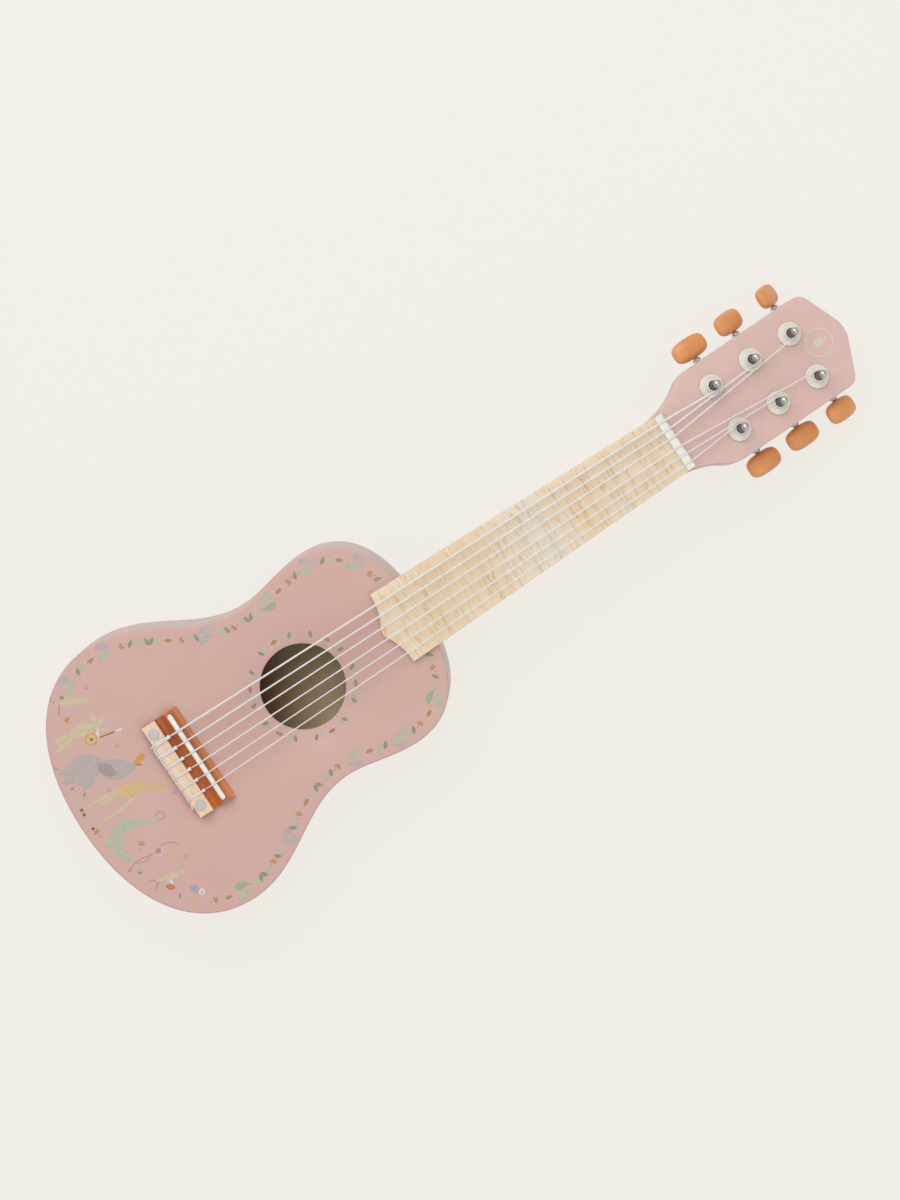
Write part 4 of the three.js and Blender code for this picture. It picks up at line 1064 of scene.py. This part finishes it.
def add_rosettes(paints):
    profile = [(3.1, -5), (4.3, -5), (4.3, 0.3), (8.05, 0.3), (8.05, 1.25), (7.85, 1.6), (7.4, 1.8),
               (6.6, 1.86), (5.6, 1.9), (5.1, 2.1), (4.9, 2.45), (4.5, ROSETTE_TOP), (3.1, ROSETTE_TOP)]
    axis = head_axis()
    first = axis.orthogonal().normalized()
    second = axis.cross(first)
    for label, side, x in tuner_places():
        centre = head_place(x, side * POST_Y, 0)
        rings = []
        for angle in around(64):
            outward = first * cos(angle) + second * sin(angle)
            rings.append([centre + axis * z * MM + outward * radius * MM for radius, z in profile])
        mesh = Build().loft(rings, loop=True).mesh()
        fine(f"rosette_{label}", mesh, paints["rosette"], "ivory_plastic")


def post_profile():
    """(radius, height) pairs of the barrel: a plain foot, then three rings and a waist."""
    bottom = WORM_Z - 2.5
    pairs = [(0, bottom), (2.3, bottom), (POST_RADIUS, bottom + 0.4), (POST_RADIUS, 10.2), (2.55, 10.4)]
    for ring in range(3):
        z = 10.6 + ring * 1.1
        pairs += [(2.3, z), (2.3, z + 0.3), (2.55, z + 0.5), (2.65, z + 0.7), (2.55, z + 0.9)]
    pairs += [(2.0, 14.1), (2.0, 14.8), (0, 14.8)]
    return pairs


def ball_profile():
    """The bright round tip."""
    pairs = [(0, 14.2), (2.1, 14.2)]
    for k in range(13):
        angle = radians(-28 + 118 * k / 12)
        pairs.append((2.75 * cos(angle), 15.5 + 2.5 * sin(angle)))
    return pairs


def gear_rings():
    """Level sections of the wave-toothed gear, twisted with the worm's thread."""
    lead = GEAR_RADIUS / GEAR_TEETH / WORM_RADIUS
    rings = []
    for z, shrink in ((-1.5, 0.35), (-1.2, 0), (-0.4, 0), (0.4, 0), (1.2, 0), (1.5, 0.35)):
        ring = []
        for angle in around(GEAR_TEETH * 8):
            radius = GEAR_RADIUS - shrink + TOOTH_WAVE * cos(GEAR_TEETH * angle)
            turn = angle + lead * z / GEAR_RADIUS
            ring.append((radius * cos(turn), radius * sin(turn), WORM_Z + z))
        rings.append(ring)
    return rings


def worm_rings(side):
    """Round sections of the worm shaft along Y: right-hand thread, collars, a shaft into the knob."""
    pitch = tau * GEAR_RADIUS / GEAR_TEETH
    ends = WORM_HALF_LENGTH
    collar = HEAD_HALF - POST_Y + 0.3
    rows = [(0.01, -ends - 2.35), (1.2, -ends - 2.35), (SHAFT_RADIUS, -ends - 2.05), (SHAFT_RADIUS, -ends)]
    rows += [(None, -ends + 2 * ends * k / 56) for k in range(57)]
    rows += [(SHAFT_RADIUS, ends), (SHAFT_RADIUS, collar)]
    rows += [(radius, collar + further) for radius, further in COLLAR_STEPS]
    rings = []
    for radius, along in rows:
        y = side * along
        ring = []
        for angle in around(28):
            reach = radius
            if radius is None:
                fade = min(1.0, (ends - abs(along)) / 0.5)
                wave = cos(tau * y / pitch - angle - 1.5 * pi)
                reach = WORM_RADIUS - 0.3 * (1 - fade) + TOOTH_WAVE * fade * wave
            ring.append((reach * sin(angle), y, reach * cos(angle)))
        rings.append(ring)
    return rings


def knob_rings():
    """A soft barrel from super-ellipses: long across the shaft, flatter than it is wide."""
    a, b, c = (size / 2 for size in KNOB_SIZE)
    plan, rise = 3.1, 2.5

    def power(value, exponent):
        return copysign(abs(value) ** exponent, value)

    rings = []
    for row in range(1, 24):
        tilt = -pi / 2 + pi * row / 24
        z = c * power(sin(tilt), 2 / rise)
        reach = power(cos(tilt), 2 / rise)
        ring = []
        for angle in around(56):
            x = a * reach * power(cos(angle), 2 / plan)
            y = b * reach * power(sin(angle), 2 / plan)
            ring.append((x, y, z))
        rings.append(ring)
    return rings


def add_post(paints, label, x, y):
    body = f"post_{label}_body"
    foot, axis = head_place(x, y, 0), head_axis()
    barrel = turned(Build(), post_profile(), foot, axis, POST_SIDES)
    # the barrel takes the nickel darkened by a painted dark reflection; the ball keeps the bright nickel
    fine(f"post_{label}", barrel.mesh(), paints["barrel"], "steel", body, POST_SHARP)
    ball = turned(Build(), ball_profile(), foot, axis, POST_SIDES)
    piece(f"post_ball_{label}_fine", ball.mesh(), paints["chrome"], body, sharp=POST_SHARP)
    gear = Build().loft([[head_place(x + px, y + py, pz) for px, py, pz in ring] for ring in gear_rings()])
    piece(f"gear_{label}_fine", gear.mesh(), paints["brass"], body, sharp=POST_SHARP)


def add_knob(paints, label, side, x):
    """A knob's body: its worm with the shaft, and the knob turned to its rest angle."""
    body = f"knob_{label}_body"
    row, number = label.split("_")
    rings = [[head_place(x + px, side * POST_Y + py, WORM_Z + pz) for px, py, pz in ring]
             for ring in worm_rings(side)]
    fine(f"worm_{label}", Build().loft(rings).mesh(), paints["steel"], "steel", body, 60)
    turn = radians(KNOB_TURNS[row][int(number) - 1])
    level_share, rise_share = cos(turn), sin(turn)
    y = side * (HEAD_HALF + KNOB_GAP + KNOB_SIZE[1] / 2)
    rings = [[head_place(x + px * level_share + pz * rise_share, y + py,
                         WORM_Z - px * rise_share + pz * level_share)
              for px, py, pz in ring] for ring in knob_rings()]
    fine(f"knob_{label}", Build().loft(rings).mesh(), paints["knob"], "caramel_plastic", body, 80)


def add_tuners(paints):
    for label, side, x in tuner_places():
        add_post(paints, label, x, side * POST_Y)
        add_knob(paints, label, side, x + WORM_X)


# ---------------------------------------------------------------- printed decoration

INKS = {
    "sage": (188, 193, 170),
    "moss": (151, 154, 128),
    "fern": (166, 180, 147),
    "lilac": (194, 181, 181),
    "ochre": (190, 141, 92),
    "cream": (214, 198, 190),
    "khaki": (212, 197, 163),
    "straw": (220, 188, 138),
    "grey_lilac": (192, 178, 175),
    "dusk": (176, 156, 150),
    "amber": (216, 164, 78),
    "rose_brown": (186, 140, 134),
    "rust": (206, 128, 98),
    "violet": (176, 168, 184),
    "chalk": (226, 224, 218),
    "bark": (136, 104, 72),
}
PRINT_SINK = 0.02
PRINT_RISE = 0.03
PRINT_STEP = 0.004
PRINT_STEPS = 14
LEAF_STEPS = 14
GARLAND_INSET = 8
GARLAND_START_X = 35
BAND_START_X = 43
GARLAND_END_X = 257
GARLAND_REACH = {"leaf": 3.4, "ochre": 3.7, "flower": 5.5, "green": 6.7, "lilac": 6.7, "mix": 6.7}
GARLAND_ROUND = (
    "leaf mix leaf flower mix ochre leaf leaf leaf flower ochre leaf lilac leaf ochre leaf leaf green"
    " flower ochre leaf mix leaf flower mix ochre leaf"
).split()
GARLAND_BACK = (
    "leaf ochre leaf green flower ochre leaf mix leaf flower mix ochre leaf leaf leaf flower ochre leaf"
    " lilac leaf ochre leaf leaf green flower ochre"
).split()
HOLE_RING_RADIUS = 32.6   # to the feet of its flowers and leaf pairs
HOLE_RING_FLOWERS = 6
HOLE_RING_PAIR_TURN = 15.5
MARK_X = 117
MARK_Y = 1.2
MARK_RADIUS = 9.35
MARK_LINE = 0.6


def heading_of(start, end):
    return degrees(atan2(end[1] - start[1], end[0] - start[0]))


def stepped(point, heading, reach):
    angle = radians(heading)
    return (point[0] + reach * cos(angle), point[1] + reach * sin(angle))


def flat(points):
    return [Vector((x, y, 0)) for x, y in points]


class Print:
    """Flat shapes gathered by ink; each is a very thin closed prism let into the lacquer."""

    def __init__(self, name, height, make=place):
        self.name = name
        self.height = height
        self.make = make
        self.builds = {}
        self.count = 0

    def rise(self, layer):
        """Each shape lies a hair above the ones before it, so no two faces share a level."""
        self.count += 1
        return PRINT_RISE * (1 + 2 * layer) + PRINT_STEP * (self.count % PRINT_STEPS)

    def shape(self, ink, loop, layer=0):
        rise = self.rise(layer)
        low = level(loop, self.height - PRINT_SINK - rise / 8, self.make)
        high = level(loop, self.height + rise, self.make)
        self.builds.setdefault(ink, Build()).loft([low, high])

    def band(self, ink, points, widths, layer=0):
        """A stripe along points, with one width for each of them."""
        left, right = [], []
        for i, (x, y) in enumerate(points):
            before, after = points[max(i - 1, 0)], points[min(i + 1, len(points) - 1)]
            along = Vector((after[0] - before[0], after[1] - before[1])).normalized()
            half = widths[i] / 2
            left.append((x - along.y * half, y + along.x * half))
            right.append((x + along.y * half, y - along.x * half))
        self.shape(ink, right + left[::-1], layer)

    def leaf(self, ink, foot, heading, length, width, bend=0.0, fullness=1.4, layer=0):
        """A leaf from its narrow foot; bend is a share of its length, fullness moves its belly out."""
        points, widths = [], []
        for k in range(LEAF_STEPS + 1):
            share = k / LEAF_STEPS
            on = stepped(foot, heading, length * share)
            points.append(stepped(on, heading + 90, bend * length * sin(pi * share)))
            widths.append(width * max(0.04, sin(pi * share ** fullness)) ** 0.8)
        self.band(ink, points, widths, layer)

    def leaf_to(self, ink, foot, tip, width, bend=0.0, fullness=1.4, layer=0):
        length = dist(foot, tip)
        self.leaf(ink, foot, heading_of(foot, tip), length, width, bend, fullness, layer)

    def leaves(self, *rows):
        """Leaves from (ink, foot x, foot y, tip x, tip y, width, bend, fullness, layer) rows."""
        for ink, *numbers in rows:
            self.leaf_to(ink, numbers[:2], numbers[2:4], *numbers[4:])

    def disc(self, ink, centre, radius, layer=0):
        self.shape(ink, circle(*centre, radius, 24), layer)

    def ring(self, ink, centre, radius, width, layer=0):
        outer, inner = (circle(*centre, radius + side * width / 2, 96) for side in (1, -1))
        low, high = self.height - PRINT_SINK, self.height + self.rise(layer)
        loops = [level(outer, low, self.make), level(outer, high, self.make),
                 level(inner, high, self.make), level(inner, low, self.make)]
        self.builds.setdefault(ink, Build()).loft(loops, loop=True)

    def stem(self, ink, points, width, layer=0):
        """A thin smooth line through points."""
        path = smooth(flat(points), 6)
        self.band(ink, [(p.x, p.y) for p in path], [width] * len(path), layer)

    def leaf_pair(self, foot, facing, length=5.7, dark_side=1):
        """Two short leaves, one dark and one light, open from one point."""
        for side in (1, -1):
            ink = "moss" if side == dark_side else "sage"
            start = stepped(foot, facing + 90 * side, 0.45)
            self.leaf(ink, start, facing + 27 * side, length, length * 0.48, bend=0.04 * side, fullness=1.2)

    def big_pair(self, foot, facing, inks):
        """Two long leaves swept the same way."""
        for side, ink, length in ((1, inks[0], 13), (-1, inks[1], 12)):
            start = stepped(foot, facing + 90 * side, 0.9)
            self.leaf(ink, start, facing + 17 * side, length, 4.7, bend=-0.1, fullness=1.7)

    def flower(self, foot, facing):
        """A fan of fine rays with pale petals cupped round it."""
        for turn in (-64, -32, 0, 32, 64):
            self.leaf("ochre", stepped(foot, facing + turn, 0.2), facing + turn, 3.1, 0.95, layer=1)
        for turn in (-112, -66, -22, 22, 66, 112):
            start = stepped(foot, facing + turn, 1.2)
            self.leaf("cream", start, facing + turn * 0.9, 3.1, 1.5, fullness=1.5)

    def ochre_sprig(self, foot, facing):
        """A tuft of short strokes with a loose seed behind it."""
        for turn, length in ((-62, 2.4), (-24, 3.3), (14, 3.4), (52, 2.7)):
            self.leaf("ochre", stepped(foot, facing + turn, 0.3), facing + turn, length, 1.05)
        self.leaf("ochre", stepped(foot, facing + 180, 1.9), facing + 60, 1.3, 0.9)

    def pieces(self):
        for ink, build in self.builds.items():
            made = build.mesh()
            piece(f"{self.name}_{ink}", made, ink_paint(ink))


INK_PAINTS = {}


def ink_paint(ink):
    if ink not in INK_PAINTS:
        INK_PAINTS[ink] = print_paint(f"ink_{ink}", INKS[ink])
    return INK_PAINTS[ink]


def garland(ink, words, path):
    """Sets the motifs one after the other along a path, inward being to the right of the way it runs."""
    lengths = [0.0]
    for start, end in zip(path, path[1:]):
        lengths.append(lengths[-1] + dist(start, end))
    spread = lengths[-1] / sum(2 * GARLAND_REACH[word] for word in words)
    at = 0.0
    for number, word in enumerate(words):
        at += GARLAND_REACH[word] * spread
        i = max(k for k, length in enumerate(lengths[:-1]) if length <= at)
        way = heading_of(path[i], path[i + 1])
        point = stepped(path[i], way, at - lengths[i])
        inward = way - 90
        if word == "leaf":
            ink.leaf_pair(stepped(point, inward + 180, 2.4), inward, dark_side=1 if number % 2 else -1)
        elif word == "ochre":
            ink.ochre_sprig(stepped(point, way, 0.6), inward - 60)
        elif word == "flower":
            ink.flower(stepped(point, inward + 180, 0.8), inward)
        elif word == "green":
            ink.big_pair(stepped(point, way, -5), way, ("sage", "fern"))
        else:
            inks = ("lilac", "lilac") if word == "lilac" else ("sage", "lilac")
            ink.big_pair(stepped(point, way, 5), way + 180, inks)
        at += GARLAND_REACH[word] * spread


def garland_paths():
    inner = inset_loop(body_outline(), GARLAND_INSET)
    bass = sorted((x, y) for x, y in inner if y > 0 and GARLAND_START_X < x < GARLAND_END_X)
    treble = sorted((x, y) for x, y in inner if y < 0 and BAND_START_X < x < GARLAND_END_X)
    return bass, treble[::-1]


def hole_ring(ink):
    centre = (HOLE_X, 0)
    for number in range(HOLE_RING_FLOWERS):
        facing = 30 + 360 / HOLE_RING_FLOWERS * number
        ink.flower(stepped(centre, facing, HOLE_RING_RADIUS + 1.2), facing)
        for side in (1, -1):
            turn = facing + HOLE_RING_PAIR_TURN * side
            ink.leaf_pair(stepped(centre, turn, HOLE_RING_RADIUS), turn, 5.0, dark_side=side)


def bass_pods(ink):
    """A slim pod, and a spray of long leaves with a round fruit."""
    ink.leaves(
        ("khaki", 31, 80.5, 50, 71, 5.6, 0.03, 1.1), ("khaki", 46, 73, 52, 70, 5.0, 0, 1.0),
    )
    ink.stem("rose_brown", [(34, 79), (31, 75), (30, 73)], 0.7)
    ink.stem("rose_brown", [(32, 81), (30, 84), (32, 86)], 0.5)
    ink.leaves(
        ("lilac", 40, 70, 43, 66.5, 1.6), ("khaki", 27, 57.5, 47, 53, 9.0, 0.05, 0.9),
        ("khaki", 34, 57, 16.5, 60.5, 3.0, 0.04), ("khaki", 34, 55, 13.5, 52.5, 3.4, -0.04),
        ("khaki", 44, 52, 54, 47, 2.4, -0.05),
    )
    for side in (1, -1):
        ink.leaf("khaki", (46, 54), 40 + 34 * side, 8, 4.2)
    ink.leaves(("chalk", 47, 53, 40, 43.5, 2.2, 0.04, 1.4, 1))
    ink.disc("straw", (38.6, 47.6), 4.8, layer=1)
    ink.ring("ochre", (38.6, 47.6), 3.7, 0.35, layer=2)
    ink.disc("bark", (38.6, 47.6), 0.9, layer=2)
    ink.stem("bark", [(43, 46), (49, 44.6), (56, 43.2)], 0.8)
    ink.leaves(("chalk", 54, 43.6, 59.5, 42.4, 1.9, 0, 1.4, 1))


def broad_leaf(ink):
    """A large soft leaf of several lobes, with an amber bud at its point."""
    ink.leaves(("grey_lilac", 10, 38.5, 39, 27.5, 17.5, 0.04, 1.0))
    ink.leaves(
        ("grey_lilac", 24, 35, 7, 39.5, 6.4, 0, 1.0), ("grey_lilac", 24, 32, 5.5, 33.5, 6.6, 0, 1.0),
        ("grey_lilac", 29, 28, 14.5, 22, 7.0, 0, 1.0), ("grey_lilac", 25, 28, 14, 27, 5.0, 0, 1.0),
    )
    ink.leaves(
        ("grey_lilac", 31, 29.5, 54, 16.5, 14.5, -0.05, 0.8),
        ("dusk", 33, 32, 40, 19.5, 8.4, -0.06, 1.0, 1),
    )
    ink.stem("dusk", [(10, 42), (7.5, 45), (8.5, 46)], 0.7)
    ink.leaves(
        ("amber", 62.5, 20.5, 52, 18, 4.2, 0.0, 0.6, 1),
        ("rust", 53, 17.5, 57.5, 15.2, 1.6, 0.1, 1.4, 1),
    )


def stalked_pod(ink):
    """A long straw-coloured pod on thin stalks, drawn out to a neck with a small bud."""
    ink.leaves(
        ("straw", 30, 10, 58, -1.5, 9.4, 0.02, 0.9), ("straw", 46, 3, 67, -4.5, 3.6, -0.05, 0.7),
        ("straw", 64.5, -2, 69, -6, 3.0, 0, 1.0), ("khaki", 38, 8.5, 8, 11.8, 3.2, -0.03, 0.8),
        ("khaki", 37, 6, 7.5, 8.8, 2.0, -0.02, 0.7), ("khaki", 47, 1, 7.5, -2.2, 3.0, 0.03, 0.7),
    )
    for centre in ((7.2, 12), (6.8, 8.6), (6.6, -2.3)):
        ink.disc("bark", centre, 1.1, layer=1)
    for k in range(9):
        ink.disc("khaki", (35 + 2.3 * k, 7.4 - 0.9 * k + 1.5 * sin(k * 2.2)), 0.5, layer=1)


def crescent_leaf(ink):
    """A sage leaf curled like a crescent, with short side leaves and a loop at its tip."""
    path = smooth(flat(((17, -35), (13.5, -26), (14.5, -17), (23, -12), (35, -16), (47, -24))), 7)
    widths = []
    for k in range(len(path)):
        share = k / (len(path) - 1)
        widths.append(1.0 + 9.5 * sin(pi * min(1, share * 1.05)) ** 0.9 * (1 - 0.35 * share))
    ink.band("sage", [(p.x, p.y) for p in path], widths)
    ink.leaves(
        ("sage", 14, -19, 6.8, -14.5, 4.2), ("sage", 24, -11, 28, -6.2, 3.6),
        ("khaki", 11, -27, 8.5, -24, 1.8),
    )
    ink.ring("dusk", (48.6, -19.6), 2.7, 0.7)
    ink.leaves(("sage", 47, -17.5, 45, -21.5, 2.6, 0, 1.4, 1))


def treble_stems(ink):
    """Fine trailing stems, small pods and a little petal."""
    ink.stem("rose_brown", [(11, -38.8), (19, -36.5), (27, -37.4), (34, -38.4)], 0.6)
    ink.stem("rose_brown", [(17, -36.8), (23, -39.4), (30, -37.4)], 0.45)
    ink.stem("rose_brown", [(36, -37), (41, -36.6), (46, -39.4), (48.5, -42)], 0.5)
    ink.ring("cream", (34.4, -38.4), 3.2, 0.7)
    ink.disc("rose_brown", (34.6, -38.2), 1.7)
    ink.disc("rose_brown", (11, -38.8), 0.8)
    ink.leaves(
        ("straw", 38.6, -42.6, 44.6, -46.8, 2.6, 0, 1.0),
        ("khaki", 21, -54, 41.5, -60.5, 4.6, 0.03, 1.2), ("khaki", 37, -57.5, 42, -60.8, 4.2, 0, 1.0),
    )
    ink.stem("rose_brown", [(22, -54.5), (19.5, -52), (17.5, -53)], 0.6)
    ink.stem("rose_brown", [(23, -56), (19, -58.4)], 0.9)
    ink.leaves(
        ("chalk", 31, -57.5, 30, -62.5, 2.0, 0, 1.4, 1),
        ("rust", 25.5, -60.5, 30.5, -65, 4.0, 0, 1.0, 1), ("violet", 43, -77, 39, -69.5, 4.8, 0, 1.1),
    )
    ink.disc("chalk", (43.6, -77), 2.2, layer=1)
    ink.disc("sage", (43.6, -77), 0.9, layer=2)
    ink.leaves(("straw", 39.5, -77.5, 34.6, -81.8, 2.4, 0, 1.0))


def tail_scatter(ink):
    """Small tufts, leaf pairs and curls between the larger shapes."""
    for at, facing in (((33, 66), 120), ((7.5, -7), 100), ((27, -29.6), 60)):
        ink.ochre_sprig(at, facing)
    for at, facing in (((8, 26.5), -20), ((12.5, 18.5), -10), ((14.5, -44), -40), ((29, -73), 20)):
        ink.leaf_pair(at, facing, 3.4)
    for x, y in ((55, 78), (50.5, 35), (29.5, 12.7), (65, -12), (47.5, -52)):
        ink.stem("rose_brown", [(x - 1.6, y + 0.6), (x, y - 0.6), (x + 1.6, y + 0.5)], 0.45)
        ink.disc("rose_brown", (x + 0.4, y + 1.3), 0.4)


def add_face_print():
    ink = Print("print", BODY_TOP)
    bass, treble = garland_paths()
    garland(ink, GARLAND_ROUND, bass)
    garland(ink, GARLAND_BACK, treble)
    hole_ring(ink)
    for motif in (bass_pods, broad_leaf, stalked_pod, crescent_leaf, treble_stems, tail_scatter):
        motif(ink)
    ink.pieces()


def add_head_mark():
    """A leaf sprig in a fine ring near the headstock's tip."""
    ink = Print("mark", 0, head_place)
    centre = (MARK_X, MARK_Y)
    ink.ring("chalk", centre, MARK_RADIUS, MARK_LINE)
    foot, tip = stepped(centre, 180, 5.6), stepped(centre, 0, 3.4)
    ink.stem("chalk", [foot, centre, tip], 0.5)
    ink.leaf("chalk", tip, 0, 3.2, 1.5)
    for k in range(3):
        at = stepped(foot, 0, 2.0 + 2.3 * k)
        for side in (1, -1):
            ink.leaf("chalk", at, 48 * side, 3.8 - 0.4 * k, 1.5)
    ink.pieces()


def add_plate_screws(paints):
    """Small domed screws that hold the tuner plates, between the gears and beyond them."""
    plate_back = -HEAD_THICKNESS - PLATE_GAP - PLATE_METAL
    axis = -head_axis()
    places = [POST_X[0] - 7.5, POST_X[2] + WORM_X + 7]
    places += [(a + b) / 2 + 2 for a, b in zip(POST_X, POST_X[1:])]
    profile = [(0, -0.2), (1.9, -0.2), (2.0, 0.3), (1.7, 0.8), (1.1, 1.1), (0, 1.2)]
    for row, side in ROWS:
        screws = Build()
        for x in places:
            turned(screws, profile, head_place(x, side * POST_Y, plate_back), axis, 24)
        mesh = screws.mesh()
        slots = Build()
        for x in places:
            corners = [(x - 2.4, side * POST_Y - 0.25), (x + 2.4, side * POST_Y - 0.25),
                       (x + 2.4, side * POST_Y + 0.25), (x - 2.4, side * POST_Y + 0.25)]
            slots.loft([level(corners, plate_back - z, head_place) for z in (1.6, 0.75)])
        piece(f"plate_screws_{row}", carved(mesh, [slots.mesh()]), paints["steel"], sharp=40)


# ---------------------------------------------------------------- everything

def all_paints():
    return {
        "face": lacquer_paint("pink_lacquer", seen(215, 177, 169), seen(212, 174, 165)),
        "side": lacquer_paint("pink_lacquer_sides", seen(210, 190, 185), seen(206, 185, 179)),
        "head": lacquer_paint("pink_lacquer_neck", seen(226, 193, 185), seen(223, 189, 181)),
        "maple": fretboard_paint(),
        "brown": brown_paint(),
        "strip": strip_paint(),
        "raw": raw_wood_paint(),
        "ivory": plastic_paint("ivory", srgb(232, 230, 222), srgb(222, 219, 208), 0.4),
        "rosette": plastic_paint("cream_plastic", srgb(222, 218, 203), srgb(218, 214, 198), 0.4),
        "dot": plastic_paint("grey_cap", srgb(192, 190, 187), srgb(184, 182, 180), 0.5),
        "knob": knob_paint(),
        "chrome": metal_paint("polished_nickel", (0.5, 0.5, 0.51, 1), 0.14, (1, 1, 0.1)),
        # the post barrel's dark colour is a painted dark reflection: the same nickel as the ball, darkened
        # in its base colour
        "barrel": metal_paint("nickel_painted_dark_reflection", (0.2, 0.19, 0.19, 1), 0.3, (1, 1, 0.1)),
        "steel": metal_paint("plated_steel", (0.6, 0.6, 0.61, 1), 0.28, (0.1, 1, 1)),
        "brass": metal_paint("gear_brass", (0.66, 0.5, 0.26, 1), 0.3, (1, 1, 0.1)),
        "fret": fret_paint(),
        "nylon": nylon_paint(),
    }


add_camera()
add_floor()
add_lights()
paints = all_paints()
add_body(paints)
add_neck(paints)
add_fretboard(paints)
add_bridge(paints)
add_strings(paints)
add_rosettes(paints)
add_tuners(paints)
add_plate_screws(paints)
add_face_print()
add_head_mark()
paint_nodes(("tuner_plate_bass", "tuner_plate_treble"), paints["steel"])
